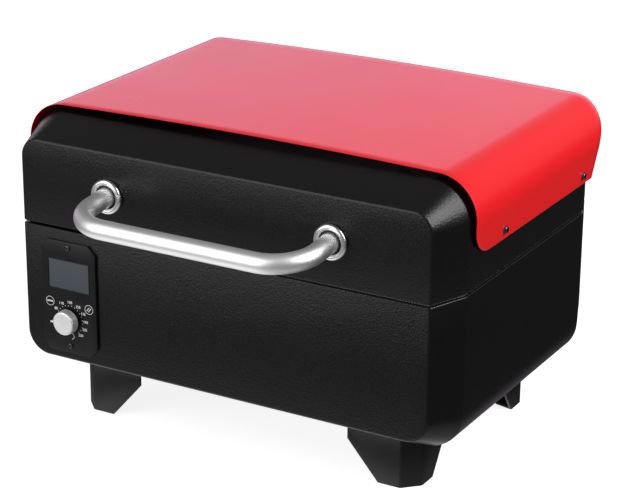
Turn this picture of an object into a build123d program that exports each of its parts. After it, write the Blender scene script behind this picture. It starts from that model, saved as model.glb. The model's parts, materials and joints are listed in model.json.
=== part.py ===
from build123d import *

import os
from math import cos, radians, sin, sqrt, tan

# A portable pellet grill on four sheet-steel legs, in millimetres.
# +X is to the user's right, -Y is the front, +Z is up.
# The origin is on the ground, under the middle of the whole grill.

# ---- casing -------------------------------------------------------------------------------
BODY_WIDTH = 500.0  # outside the side walls
BODY_DEPTH = 364.0  # front panel to rear panel
BEVEL_DEPTH = 44.0  # how far the bevel round each end panel runs back
BEVEL_INSET = 16.6  # how far it steps in at each side
LEG_HEIGHT = 54.0
BASE_HEIGHT = 164.0  # underside of the base to the seam
BASE_END_HEIGHT = 143.0  # the same at the end panels, inside the bevel
LID_HEIGHT = 108.4  # seam to the top of the lid
LID_END_HEIGHT = 90.1
CASING_RADIUS = 40.0  # rounded long corners of the base and lid
BASE_END_RADIUS = 25.0
LID_END_RADIUS = 20.0
SHEET = 1.2  # casing steel
SEAM_GAP = 2.4  # between the base rim and the lid rim
RIM_WIDTH = 10.0  # inward flange round each rim

HANDLE_REACH = 80.0  # front of the handle to the front panel
HINGE_REACH = 12.0  # rear of the hinge knuckles to the rear panel

HALF = BODY_WIDTH / 2
END_HALF = HALF - BEVEL_INSET
FRONT = HANDLE_REACH - (HANDLE_REACH + BODY_DEPTH + HINGE_REACH) / 2  # y of the front panel
REAR = FRONT + BODY_DEPTH
SEAM = LEG_HEIGHT + BASE_HEIGHT  # height of the split between base and lid
BASE_RIM = SEAM - SEAM_GAP / 2
LID_RIM = SEAM + SEAM_GAP / 2
BIG = 600.0

# ---- lid cover ----------------------------------------------------------------------------
COVER_SHEET = 1.2
COVER_TOP = SEAM + 118.6  # crown of the bent sheet
COVER_CROWN_RADIUS = 7100.0  # the top is very slightly arched
COVER_RADIUS = 42.5
COVER_CORNER_X = 214.2  # centre of the corner bends
COVER_SLANT = 7.84  # degrees that the sides lean in
COVER_BOTTOM = SEAM + 33.5
COVER_FRONT = FRONT + 46.6
COVER_FRONT_CORNER = 41.0  # radius of its lower front corners
COVER_REAR_EDGE = [(361.0, 118.6), (360.0, 112.0), (341.0, 73.0), (334.5, 33.5)]  # depth, height
COVER_SCREW_DEPTHS = (117.8, 307.7)
COVER_SCREW_Z = SEAM + 43.7

# ---- handle -------------------------------------------------------------------------------
HANDLE_X = 128.0
HANDLE_Z = SEAM + 45.0
HANDLE_RADIUS = 10.0
HANDLE_WALL = 1.5
HANDLE_BEND = 42.0
HANDLE_DROOP = 5.35  # degrees that the handle hangs below level
TRIM_RADIUS = 15.0  # of the ring's centreline
TRIM_SECTION = 3.2

# ---- legs ---------------------------------------------------------------------------------
LEG_OUTER_X = 200.5
LEG_FRONT_DEPTH = 43.5  # leg faces, back from the front panel
LEG_REAR_DEPTH = 309.0
LEG_SHEET = 2.5
LEG_BEVEL = 16.5
LEG_FACE_LENGTH = 76.5
LEG_SIDE_LENGTH = 66.5
LEG_KNEE = 40.4  # height at which the flanges start to taper
LEG_FACE_FOOT = 41.4
LEG_SIDE_FOOT = 39.5
LEG_SCREWS = [(-54.0, 14.0), (-13.0, 46.0)]  # from the leg's outer corner

# ---- control plate ------------------------------------------------------------------------
PLATE_X = -177.5
PLATE_WIDTH = 67.0
PLATE_TOP = SEAM - 12.5
PLATE_HEIGHT = 121.5
PLATE_THICK = 3.0
PLATE_CLIP = 9.0
WINDOW_SIZE = (50.0, 31.5)
WINDOW_Z = SEAM - 48.9
KNOB_Z = SEAM - 97.5
KNOB_RADIUS = 13.0
PLATE_SCREW_Z = (SEAM - 18.5, SEAM - 126.0)

# ---- feed, fire and chamber ---------------------------------------------------------------
CHAMBER_X = (-134.8, 236.0)
CHAMBER_Y = (FRONT + 12.0, FRONT + 352.0)
CHAMBER_FLOOR = SEAM - 146.0
LINER_SHEET = 1.0
LINER_FLANGE_TOP = BASE_RIM - SHEET
FIRE_X = 45.0
FIRE_Y = FRONT + 182.0
FIREPOT_RADIUS = 38.0
AUGER_Z = SEAM - 112.0
AUGER_TUBE_RADIUS = 17.0
IGNITER_Z = SEAM - 136.0
DUCT_Y = (FIRE_Y - 42.0, FIRE_Y + 42.0)
DUCT_Z = (CHAMBER_FLOOR + LINER_SHEET, SEAM - 92.0)
HOPPER_X = (-238.0, -146.0)
HOPPER_Y = (FRONT + 62.0, FRONT + 302.0)
DRAIN_Y = FRONT + 305.0

# ---- rear of the feed bay -----------------------------------------------------------------
FAN_X = -190.0
FAN_Z = SEAM - 72.0
FAN_SIZE = 60.0
INLET_X = -196.0
SWITCH_X = -158.0
INLET_Z = SEAM - 122.0

# ---- hinges -------------------------------------------------------------------------------
HINGE_X = (-150.0, 150.0)
HINGE_Y = REAR + 6.5
HINGE_Z = SEAM
KNUCKLE_RADIUS = 5.5
HINGE_PIN_RADIUS = 2.5


def block(x, y, z):
    """A box between three (low, high) pairs."""
    size = Box(x[1] - x[0], y[1] - y[0], z[1] - z[0])
    return Pos(sum(x) / 2, sum(y) / 2, sum(z) / 2) * size


def rod(start, end, radius):
    """A round bar from one point to another."""
    axis = Vector(*end) - Vector(*start)
    plane = Plane(origin=start, z_dir=axis)
    return plane * Cylinder(radius, axis.length, align=(Align.CENTER, Align.CENTER, Align.MIN))


def tube(start, end, outer, inner):
    return rod(start, end, outer) - rod(start, end, inner)


def facing_front(y):
    """A sketch plane across the grill: its own x is X and its own y is Z."""
    return Plane(origin=(0, y, 0), x_dir=(1, 0, 0), z_dir=(0, -1, 0))


def facing_side(x):
    """A sketch plane along the grill: its own x is Y and its own y is Z."""
    return Plane(origin=(x, 0, 0), x_dir=(0, 1, 0), z_dir=(1, 0, 0))


def plate_of(points, low, high):
    """A flat plate with a polygonal outline, from one height to another."""
    return extrude(Plane.XY.offset(low) * make_face(Polyline(*points, close=True)), high - low)


def mirrored(shape):
    """The shape and its copy on the other side of the grill."""
    return [shape, mirror(shape, Plane.YZ)]


def hexagon(start, end, across_flats):
    """A hexagonal bar from one point to another."""
    axis = Vector(*end) - Vector(*start)
    outline = RegularPolygon(across_flats / 2, 6, major_radius=False)
    return extrude(Plane(origin=start, z_dir=axis) * outline, axis.length)


# ---- casing -------------------------------------------------------------------------------
def casing_section(y, half, flat_z, round_z, radius):
    """One upright section of the casing: square at the seam, round at the far corners."""
    away = 1 if round_z > flat_z else -1
    bend_z = round_z - away * radius
    inset = radius * (1 - cos(radians(45)))
    outline = [
        Line((-half, flat_z), (-half, bend_z)),
        ThreePointArc((-half, bend_z), (-half + inset, round_z - away * inset), (-half + radius, round_z)),
        Line((-half + radius, round_z), (half - radius, round_z)),
        ThreePointArc((half - radius, round_z), (half - inset, round_z - away * inset), (half, bend_z)),
        Line((half, bend_z), (half, flat_z)),
        Line((half, flat_z), (-half, flat_z)),
    ]
    return facing_front(y) * make_face(outline)


def casing_solid(flat_z, full_z, end_z, end_radius, shrink):
    """The casing as a full block, smaller by shrink on every side but the seam."""
    inward = -shrink if full_z > flat_z else shrink
    middle = (HALF - shrink, flat_z, full_z + inward, CASING_RADIUS - shrink)
    end = (END_HALF - shrink, flat_z, end_z + inward, end_radius - shrink)
    front_crease, rear_crease = FRONT + BEVEL_DEPTH, REAR - BEVEL_DEPTH
    sections = [
        casing_section(FRONT + shrink, *end),
        casing_section(front_crease, *middle),
        casing_section(rear_crease, *middle),
        casing_section(REAR - shrink, *end),
    ]
    spans = [loft([a, b], ruled=True) for a, b in zip(sections, sections[1:])]
    return spans[0] + spans[1] + spans[2]


def casing_plan(offset):
    """The casing's outline from above, moved inwards by offset."""
    wide, narrow = HALF - offset, END_HALF - offset
    ends, creases = (FRONT + offset, REAR - offset), (FRONT + BEVEL_DEPTH, REAR - BEVEL_DEPTH)
    right = [(narrow, ends[0]), (wide, creases[0]), (wide, creases[1]), (narrow, ends[1])]
    return right + [(-x, y) for x, y in reversed(right)]


def casing_shell(rim_z, full_z, end_z, end_radius):
    """A hollow half of the casing, open at the seam inside an inward rim."""
    away = 1 if full_z > rim_z else -1
    shell = casing_solid(rim_z, full_z, end_z, end_radius, 0)
    shell -= casing_solid(rim_z + away * SHEET, full_z, end_z, end_radius, SHEET)
    low, high = sorted((rim_z - away, rim_z + away * 2 * SHEET))
    return shell - plate_of(casing_plan(RIM_WIDTH), low, high)


def casing_pieces(shell):
    """The front cap, side wrap and rear cap that a casing half is welded from."""
    creases = (FRONT + BEVEL_DEPTH, REAR - BEVEL_DEPTH)
    everywhere = ((-BIG, BIG), (0, BIG))
    front = shell & block(everywhere[0], (-BIG, creases[0]), everywhere[1])
    middle = shell & block(everywhere[0], creases, everywhere[1])
    rear = shell & block(everywhere[0], (creases[1], BIG), everywhere[1])
    return front, middle, rear


def slots(count, pitch, size, center, y):
    """A row of upright slots through a panel at y."""
    width, height = size
    cuts = []
    for i in range(count):
        x = center[0] + (i - (count - 1) / 2) * pitch
        cuts.append(block((x - width / 2, x + width / 2), (y - 6, y + 6),
                          (center[1] - height / 2, center[1] + height / 2)))
    return cuts


def leg_frames():
    """Each leg's name, side, outer corner in depth, and direction in which it runs inwards."""
    return [
        ("leg_front_left", -1, FRONT + LEG_FRONT_DEPTH, 1),
        ("leg_front_right", 1, FRONT + LEG_FRONT_DEPTH, 1),
        ("leg_rear_left", -1, FRONT + LEG_REAR_DEPTH, -1),
        ("leg_rear_right", 1, FRONT + LEG_REAR_DEPTH, -1),
    ]


def leg_screw_places():
    return [(side * (LEG_OUTER_X + dx), corner + inward * dy)
            for _, side, corner, inward in leg_frames() for dx, dy in LEG_SCREWS]


def base_casing():
    shell = casing_shell(BASE_RIM, SEAM - BASE_HEIGHT, SEAM - BASE_END_HEIGHT, BASE_END_RADIUS)
    front, wrap, rear = casing_pieces(shell)
    # Behind the control plate the panel is open for the display and the dial.
    window = (PLATE_X - WINDOW_SIZE[0] / 2 - 1, PLATE_X + WINDOW_SIZE[0] / 2 + 1)
    front -= block(window, (FRONT - 2, FRONT + 4), (WINDOW_Z - 17, WINDOW_Z + 17))
    front -= rod((PLATE_X, FRONT - 2, KNOB_Z), (PLATE_X, FRONT + 4, KNOB_Z), 5.5)
    for z in PLATE_SCREW_Z:
        front -= rod((PLATE_X, FRONT - 2, z), (PLATE_X, FRONT + 4, z), 1.5)
    for x, y in leg_screw_places():
        wrap -= rod((x, y, LEG_HEIGHT - 1), (x, y, LEG_HEIGHT + 3), 2.1)
    wrap -= rod((FIRE_X, DRAIN_Y, LEG_HEIGHT - 1), (FIRE_X, DRAIN_Y, LEG_HEIGHT + 3), 10.0)
    rear -= rod((FAN_X, REAR - 4, FAN_Z), (FAN_X, REAR + 1, FAN_Z), 27.0)
    rear -= block((INLET_X - 14, INLET_X + 14), (REAR - 4, REAR + 1), (INLET_Z - 10, INLET_Z + 10))
    rear -= block((SWITCH_X - 10, SWITCH_X + 10), (REAR - 4, REAR + 1), (INLET_Z - 7, INLET_Z + 7))
    for x, z in hinge_rivet_places(-1):
        rear -= rod((x, REAR - 4, z), (x, REAR + 1, z), 1.9)
    return front, wrap, rear


def lid_casing():
    shell = casing_shell(LID_RIM, SEAM + LID_HEIGHT, SEAM + LID_END_HEIGHT, LID_END_RADIUS)
    front, wrap, rear = casing_pieces(shell)
    for x in (-HANDLE_X, HANDLE_X):
        front -= rod((x, FRONT - 1, HANDLE_Z), (x, FRONT + 4, HANDLE_Z), 3.2)
    for y in COVER_SCREW_DEPTHS:
        wrap -= rod((-BIG, FRONT + y, COVER_SCREW_Z), (BIG, FRONT + y, COVER_SCREW_Z), 2.1)
    for cut in slots(9, 14, (6, 26), (FIRE_X, SEAM + 58), REAR):
        rear -= cut
    for x, z in hinge_rivet_places(1):
        rear -= rod((x, REAR - 4, z), (x, REAR + 1, z), 1.9)
    return front, wrap, rear


# ---- lid cover ----------------------------------------------------------------------------
def cover_profile(shrink):
    """The bent sheet's outer or inner outline, closed across its open bottom."""
    crown = COVER_CROWN_RADIUS - shrink
    crown_center = COVER_TOP - COVER_CROWN_RADIUS
    tilt = COVER_CORNER_X / (COVER_CROWN_RADIUS - COVER_RADIUS)  # sine of the crown's end slope
    rise = sqrt(1 - tilt**2)
    corner_z = crown_center + (COVER_CROWN_RADIUS - COVER_RADIUS) * rise
    radius = COVER_RADIUS - shrink
    slant = radians(COVER_SLANT)
    top = (COVER_CORNER_X + radius * tilt, corner_z + radius * rise)
    middle = (COVER_CORNER_X + radius * cos(radians(40)), corner_z + radius * sin(radians(40)))
    side = (COVER_CORNER_X + radius * cos(slant), corner_z - radius * sin(slant))
    bottom_z = COVER_BOTTOM - (1 if shrink else 0)
    foot = (side[0] - (side[1] - bottom_z) * tan(slant), bottom_z)

    def left(point):
        return (-point[0], point[1])

    outline = [
        ThreePointArc(left(top), (0, crown_center + crown), top),
        ThreePointArc(top, middle, side),
        Line(side, foot),
        Line(foot, left(foot)),
        Line(left(foot), left(side)),
        ThreePointArc(left(side), left(middle), left(top)),
    ]
    return make_face(outline)


def lid_cover():
    back = FRONT + COVER_REAR_EDGE[0][0]
    outer = extrude(facing_front(back) * cover_profile(0), back - COVER_FRONT)
    inner = extrude(facing_front(back + 1) * cover_profile(COVER_SHEET), back - COVER_FRONT + 2)
    sheet = outer - inner
    # The rear edge runs forwards as it comes down, and the front lower corners are round.
    edge = [(FRONT + depth, SEAM + height) for depth, height in COVER_REAR_EDGE]
    beyond = [(back + 20, edge[-1][1] - 2), (back + 20, edge[0][1] + 2), (edge[0][0], edge[0][1] + 2)]
    behind = make_face(Polyline(*edge, (edge[-1][0], edge[-1][1] - 2), *beyond, close=True))
    sheet -= extrude(facing_side(-BIG) * behind, 2 * BIG)
    r = COVER_FRONT_CORNER
    corner = block((-BIG, BIG), (COVER_FRONT - 1, COVER_FRONT + r), (COVER_BOTTOM - 1, COVER_BOTTOM + r))
    center = (COVER_FRONT + r, COVER_BOTTOM + r)
    corner -= rod((-BIG, *center), (BIG, *center), r)
    sheet -= corner
    for y in COVER_SCREW_DEPTHS:
        sheet -= rod((-BIG, FRONT + y, COVER_SCREW_Z), (BIG, FRONT + y, COVER_SCREW_Z), 2.1)
    return sheet


def cover_fixings(cover):
    """Spacer washers, pan-head screws and nuts that hold the cover to the lid's sides."""
    spacers, screws, nuts = [], [], []
    side_x = COVER_CORNER_X + COVER_RADIUS * cos(radians(COVER_SLANT))
    outside = side_x - (COVER_TOP - 51.4 - COVER_SCREW_Z) * tan(radians(COVER_SLANT))
    for y in COVER_SCREW_DEPTHS:
        y += FRONT
        z = COVER_SCREW_Z
        spacer = tube((HALF, y, z), (outside, y, z), 6.0, 2.1) - cover
        spacers += mirrored(max(spacer.solids(), key=lambda s: -s.center().X))
        head = rod((outside - 0.8, y, z), (outside + 2.9, y, z), 4.2)
        head = fillet(head.edges().sort_by(Axis.X)[-1], 1.6)
        head -= hexagon((outside + 1.7, y, z), (outside + 3.0, y, z), 2.5)
        head = max((head - cover).solids(), key=lambda s: s.center().X)
        screws += mirrored(head + rod((HALF - 8, y, z), (outside + 0.9, y, z), 2.0))
        nut = hexagon((HALF - SHEET - 3.2, y, z), (HALF - SHEET, y, z), 7.0)
        nuts += mirrored(nut - rod((HALF - 8, y, z), (HALF, y, z), 2.05))
    return spacers, screws, nuts


# ---- handle -------------------------------------------------------------------------------
def drooped(shape):
    """Tilts a handle piece down about its fixing line, and trims its back flat on the panel."""
    tilt = Pos(0, FRONT, HANDLE_Z) * Rot(HANDLE_DROOP, 0, 0) * Pos(0, -FRONT, -HANDLE_Z)
    return tilt * shape - block((-BIG, BIG), (FRONT, BIG), (0, BIG))


def handle_tube():
    reach = FRONT - HANDLE_REACH + HANDLE_RADIUS
    behind = FRONT + 3
    points = [(-HANDLE_X, behind), (-HANDLE_X, reach), (HANDLE_X, reach), (HANDLE_X, behind)]
    path = FilletPolyline(*[(x, y, HANDLE_Z) for x, y in points], radius=HANDLE_BEND)
    start = Plane(origin=(-HANDLE_X, behind, HANDLE_Z), z_dir=(0, -1, 0))
    ring = Circle(HANDLE_RADIUS) - Circle(HANDLE_RADIUS - HANDLE_WALL)
    return drooped(sweep(start * ring, path=path))


def handle_trim():
    """Polished rings with a flat back, round each end of the handle."""
    center = FRONT - TRIM_SECTION + 0.8
    ring = Pos(HANDLE_X, center, HANDLE_Z) * Rot(90, 0, 0) * Torus(TRIM_RADIUS, TRIM_SECTION)
    return mirrored(ring & block((0, BIG), (-BIG, FRONT), (0, BIG)))


def handle_small_parts():
    y, z = FRONT, HANDLE_Z
    bore = HANDLE_RADIUS - HANDLE_WALL
    isolators = mirrored(tube((HANDLE_X, y - 2.0, z), (HANDLE_X, y, z), 11.6, HANDLE_RADIUS + 0.25))
    insert = drooped(rod((HANDLE_X, y - 16, z), (HANDLE_X, y + 3, z), bore))
    inserts = mirrored(insert - rod((HANDLE_X, y - 20, z), (HANDLE_X, y + 1, z), 3.0))
    inside = y + SHEET
    screw = rod((HANDLE_X, y - 13, z), (HANDLE_X, inside + 1.5, z), 2.95)
    screw += rod((HANDLE_X, inside, z), (HANDLE_X, inside + 1.5, z), 9.0)
    screw += hexagon((HANDLE_X, inside + 1.4, z), (HANDLE_X, inside + 5.5, z), 10.0)
    return isolators, inserts, mirrored(screw)


# ---- hinges -------------------------------------------------------------------------------
def hinge_rivet_places(direction):
    """Rivet positions on the leaves above (1) or below (-1) the seam."""
    return [(x + dx, SEAM + direction * 21.0) for x in HINGE_X for dx in (-13.0, 13.0)]


def hinge_leaves(direction):
    """Leaves with their knuckles: the lid's knuckle is between the base's two."""
    outer, inner, gap = 20.0, 7.7, 0.3
    own = [(-inner, inner)] if direction > 0 else [(-outer, -inner - gap), (inner + gap, outer)]
    other = [(-outer, -inner - gap), (inner + gap, outer)] if direction > 0 else [(-inner, inner)]
    leaves = []
    for x in HINGE_X:
        heights = sorted((SEAM + direction * 30.0, SEAM + direction * SEAM_GAP / 2))
        leaf = block((x - outer, x + outer), (REAR, REAR + 1.5), heights)
        for low, high in own:
            leaf += rod((x + low, HINGE_Y, HINGE_Z), (x + high, HINGE_Y, HINGE_Z), KNUCKLE_RADIUS)
            web = sorted((HINGE_Z, HINGE_Z + direction * KNUCKLE_RADIUS))
            leaf += block((x + low, x + high), (REAR, HINGE_Y), web) & block(
                (-BIG, BIG), (REAR, BIG), sorted((SEAM + direction * SEAM_GAP / 2, SEAM + direction * 30)))
        for low, high in other:
            ends = (x + low - gap, HINGE_Y, HINGE_Z), (x + high + gap, HINGE_Y, HINGE_Z)
            leaf -= rod(*ends, KNUCKLE_RADIUS + 0.4)
        bore = HINGE_PIN_RADIUS + (0.05 if direction > 0 else 0)
        leaf -= rod((x - outer - 1, HINGE_Y, HINGE_Z), (x + outer + 1, HINGE_Y, HINGE_Z), bore)
        for rivet_x, rivet_z in hinge_rivet_places(direction):
            leaf -= rod((rivet_x, REAR - 1, rivet_z), (rivet_x, REAR + 2, rivet_z), 1.9)
        leaves.append(leaf)
    return leaves


def hinge_pins():
    pins = []
    for x in HINGE_X:
        pin = rod((x - 20.5, HINGE_Y, HINGE_Z), (x + 20.5, HINGE_Y, HINGE_Z), HINGE_PIN_RADIUS)
        for side in (-1, 1):
            near, far = x + side * 20.0, x + side * 21.5
            pin += rod((near, HINGE_Y, HINGE_Z), (far, HINGE_Y, HINGE_Z), 3.8)
        pins.append(pin)
    return pins


def hinge_rivets(direction):
    rivets = []
    for x, z in hinge_rivet_places(direction):
        head = rod((x, REAR + 1.5, z), (x, REAR + 3.3, z), 3.4)
        head = fillet(head.edges().sort_by(Axis.Y)[-1], 1.4)
        tail = rod((x, REAR - SHEET - 2.0, z), (x, REAR - SHEET, z), 2.8)
        rivets.append(head + tail + rod((x, REAR - SHEET, z), (x, REAR + 1.5, z), 1.9))
    return rivets


# ---- legs ---------------------------------------------------------------------------------
def leg():
    """The front right leg: a folded strip with a top plate and a foot plate."""
    right, t = LEG_OUTER_X, LEG_SHEET
    left, back = right - LEG_FACE_LENGTH, LEG_SIDE_LENGTH
    bevel = [(right - LEG_BEVEL, 0), (right, LEG_BEVEL)]
    step = t * tan(radians(22.5))
    inner = [(right - t, LEG_BEVEL + step), (right - LEG_BEVEL - step, t)]
    strip = [(left, 0), *bevel, (right, back), (right - t, back), *inner, (left, t)]
    walls = plate_of(strip, 0, LEG_HEIGHT)
    top = plate_of([(left, 0), *bevel, (right, back), (right - 12, back), (left, 18)],
                   LEG_HEIGHT - t, LEG_HEIGHT)
    face_foot, side_foot = right - LEG_FACE_FOOT, LEG_SIDE_FOOT
    foot = plate_of([(face_foot, 0), *bevel, (right, side_foot), (right - 20, side_foot - 4.5),
                     (face_foot + 4.5, 20)], 0, t)
    body = walls + top
    # Both flanges taper towards the foot below the knee.
    lean_face = [(left - 5, LEG_KNEE), (left, LEG_KNEE), (face_foot, 0), (face_foot, -1), (left - 5, -1)]
    body -= extrude(facing_front(t + 1) * make_face(Polyline(*lean_face, close=True)), t + 2)
    lean_side = [(back + 5, LEG_KNEE), (back, LEG_KNEE), (side_foot, 0), (side_foot, -1), (back + 5, -1)]
    body -= extrude(facing_side(right - t - 1) * make_face(Polyline(*lean_side, close=True)), t + 2)
    body += foot
    for dx, dy in LEG_SCREWS:
        body -= rod((right + dx, dy, LEG_HEIGHT - t - 1), (right + dx, dy, LEG_HEIGHT + 1), 2.6)
    return body


def legs():
    pieces = {}
    for name, side, corner, inward in leg_frames():
        shape = leg() if inward > 0 else mirror(leg(), Plane.XZ)
        shape = Pos(0, corner, 0) * shape
        pieces[name] = shape if side > 0 else mirror(shape, Plane.YZ)
    return pieces


def leg_screws():
    screws = []
    for x, y in leg_screw_places():
        under = LEG_HEIGHT - LEG_SHEET
        head = rod((x, y, under - 2.8), (x, y, under), 4.6)
        head = fillet(head.edges().sort_by(Axis.Z)[0], 1.5)
        screws.append(head + rod((x, y, under), (x, y, LEG_HEIGHT + 8), 2.1))
    return screws


# ---- control plate and electronics --------------------------------------------------------
def control_plate():
    left, right = PLATE_X - PLATE_WIDTH / 2, PLATE_X + PLATE_WIDTH / 2
    top, bottom = PLATE_TOP, PLATE_TOP - PLATE_HEIGHT
    c = PLATE_CLIP
    outline = [(left + c, top), (right - c, top), (right, top - c), (right, bottom + c),
               (right - c, bottom), (left + c, bottom), (left, bottom + c), (left, top - c)]
    plate = extrude(facing_front(FRONT) * make_face(Polyline(*outline, close=True)), PLATE_THICK)
    w, h = WINDOW_SIZE
    plate -= block((PLATE_X - w / 2, PLATE_X + w / 2), (FRONT - 5, FRONT + 1), (WINDOW_Z - h / 2, WINDOW_Z + h / 2))
    plate -= rod((PLATE_X, FRONT - 5, KNOB_Z), (PLATE_X, FRONT + 1, KNOB_Z), 5.0)
    for z in PLATE_SCREW_Z:
        plate -= rod((PLATE_X, FRONT - 5, z), (PLATE_X, FRONT + 1, z), 1.6)
    return plate


def control_plate_screws():
    screws = []
    for z in PLATE_SCREW_Z:
        y = FRONT - PLATE_THICK
        head = rod((PLATE_X, y - 1.9, z), (PLATE_X, y, z), 3.1)
        head = fillet(head.edges().sort_by(Axis.Y)[0], 1.3)
        screws.append(head + rod((PLATE_X, y, z), (PLATE_X, FRONT + 6, z), 1.5))
    return screws


def electronics():
    w, h = WINDOW_SIZE
    window = block((PLATE_X - w / 2, PLATE_X + w / 2), (FRONT - PLATE_THICK + 0.6, FRONT - 1),
                   (WINDOW_Z - h / 2, WINDOW_Z + h / 2))
    display = block((PLATE_X - w / 2, PLATE_X + w / 2), (FRONT - 1, FRONT + 10),
                    (WINDOW_Z - h / 2, WINDOW_Z + h / 2))
    board_y = FRONT + 10.0
    board = block((PLATE_X - 30, PLATE_X + 30), (board_y, board_y + 1.6), (SEAM - 118, SEAM - 26))
    board += block((PLATE_X - 24, PLATE_X - 8), (board_y + 1.6, board_y + 12), (SEAM - 112, SEAM - 84))
    board += block((PLATE_X + 2, PLATE_X + 26), (board_y + 1.6, board_y + 9), (SEAM - 78, SEAM - 58))
    board -= rod((PLATE_X, FRONT, KNOB_Z), (PLATE_X, FRONT + 30, KNOB_Z), 3.5)
    corners = [(PLATE_X + sx * 26, z) for sx in (-1, 1) for z in (SEAM - 114, SEAM - 30)]
    for x, z in corners:
        board -= rod((x, board_y - 1, z), (x, board_y + 3, z), 1.6)
    standoffs = []
    for x, z in corners:
        post = hexagon((x, FRONT + SHEET, z), (x, board_y, z), 5.5)
        standoffs.append(post + rod((x, board_y - 1, z), (x, board_y + 1.6, z), 1.6))
    bush = tube((PLATE_X, FRONT - PLATE_THICK, KNOB_Z), (PLATE_X, FRONT + 4, KNOB_Z), 5.0, 3.05)
    bush += tube((PLATE_X, FRONT + 4, KNOB_Z), (PLATE_X, board_y, KNOB_Z), 7.0, 3.05)
    return window, display, board, standoffs, bush


def dial_knob():
    """A spun knob with a rounded front edge, a neck and a pointer fin on its left."""
    near = FRONT - PLATE_THICK
    face = near - 13.0
    knob = rod((PLATE_X, near - 3.5, KNOB_Z), (PLATE_X, face, KNOB_Z), KNOB_RADIUS)
    knob = fillet(knob.edges().sort_by(Axis.Y)[0], 1.6)
    knob += rod((PLATE_X, near - 0.5, KNOB_Z), (PLATE_X, near - 4, KNOB_Z), 8.0)
    knob += block((PLATE_X - KNOB_RADIUS - 3.0, PLATE_X - 6), (face + 0.4, face + 4.4), (KNOB_Z - 1.0, KNOB_Z + 1.0))
    knob -= rod((PLATE_X, near, KNOB_Z), (PLATE_X, near - 9.5, KNOB_Z), 3.0)
    shaft = rod((PLATE_X, near - 9.5, KNOB_Z), (PLATE_X, FRONT + 11, KNOB_Z), 3.0)
    return knob, shaft


# ---- rear fittings ------------------------------------------------------------------------
def power_inlet():
    x, z, y = INLET_X, INLET_Z, REAR
    inlet = block((x - 17, x + 17), (y, y + 2.5), (z - 12.5, z + 12.5))
    inlet += block((x - 13.8, x + 13.8), (y - 22, y), (z - 9.8, z + 9.8))
    inlet -= block((x - 12, x + 12), (y - 14, y + 3), (z - 8, z + 8))
    for dx, dz in ((-7, -2), (7, -2), (0, 3.5)):
        inlet += block((x + dx - 1, x + dx + 1), (y - 15, y - 1.5), (z + dz - 2, z + dz + 2))
    return inlet


def power_switch():
    x, z, y = SWITCH_X, INLET_Z, REAR
    bezel = block((x - 12, x + 12), (y, y + 1.8), (z - 8.5, z + 8.5))
    bezel += block((x - 9.8, x + 9.8), (y - 16, y), (z - 6.8, z + 6.8))
    bezel -= block((x - 8.8, x + 8.8), (y - 8, y + 2), (z - 5.6, z + 5.6))
    bezel -= rod((x, y - 1, z - 6.4), (x, y - 1, z + 6.4), 1.25)
    # The rocker rests with its left half in, and tips about a pin across its middle.
    tip = radians(10)
    pivot = (x, y - 1.0)
    profile = [(-7.4, -5.0), (7.4, -5.0), (7.8, 1.2), (0, 2.6), (-7.8, 1.2)]
    turned = [(pivot[0] + px * cos(tip) - py * sin(tip), pivot[1] + px * sin(tip) + py * cos(tip))
              for px, py in profile]
    rocker = plate_of(turned, z - 5.3, z + 5.3)
    rocker += rod((x, y - 1, z - 6.3), (x, y - 1, z + 6.3), 1.2)
    return bezel, rocker


def fan():
    x, z, back = FAN_X, FAN_Z, REAR - SHEET
    front, half = back - 25.0, FAN_SIZE / 2
    frame = block((x - half, x + half), (front, back), (z - half, z + half))
    frame -= rod((x, front - 1, z), (x, back + 1, z), 28.0)
    hub = rod((x, front, z), (x, front + 5, z), 13.0)
    for turn in range(3):
        spoke = Pos(14.5, 0, 0) * Box(29.0, 3.0, 3.0)
        hub += Pos(x, front + 2.0, z) * Rot(0, 90 + turn * 120, 0) * spoke
    frame += hub
    frame -= rod((x, front - 1, z), (x, front + 6, z), 2.05)
    impeller = rod((x, front + 5.6, z), (x, back - 4, z), 12.5)
    for turn in range(7):
        blade = Box(14.5, 13.0, 1.4)
        blade = Pos(12.0 + 14.5 / 2, 0, 0) * Rot(38, 0, 0) * blade
        blade = Rot(0, turn * 360 / 7, 0) * blade
        impeller += Pos(x, front + 13.0, z) * blade
    impeller += rod((x, front + 0.5, z), (x, front + 5.7, z), 2.0)
    guard = tube((x, REAR, z), (x, REAR + 2.5, z), 31.0, 28.0)
    for radius in (10.0, 16.0, 22.0):
        guard += tube((x, REAR + 0.8, z), (x, REAR + 2.4, z), radius + 0.8, radius - 0.8)
    for turn in range(4):
        angle = radians(45 + turn * 90)
        reach = (x + 28.5 * cos(angle), REAR + 1.6, z + 28.5 * sin(angle))
        guard += rod((x, REAR + 1.6, z), reach, 1.0)
    guard += rod((x, REAR + 0.8, z), (x, REAR + 2.4, z), 4.0)
    return frame, impeller, guard


# ---- pellet feed --------------------------------------------------------------------------
def rectangle_face(x, y, z):
    return Pos(sum(x) / 2, sum(y) / 2, z) * Rectangle(x[1] - x[0], y[1] - y[0])


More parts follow.
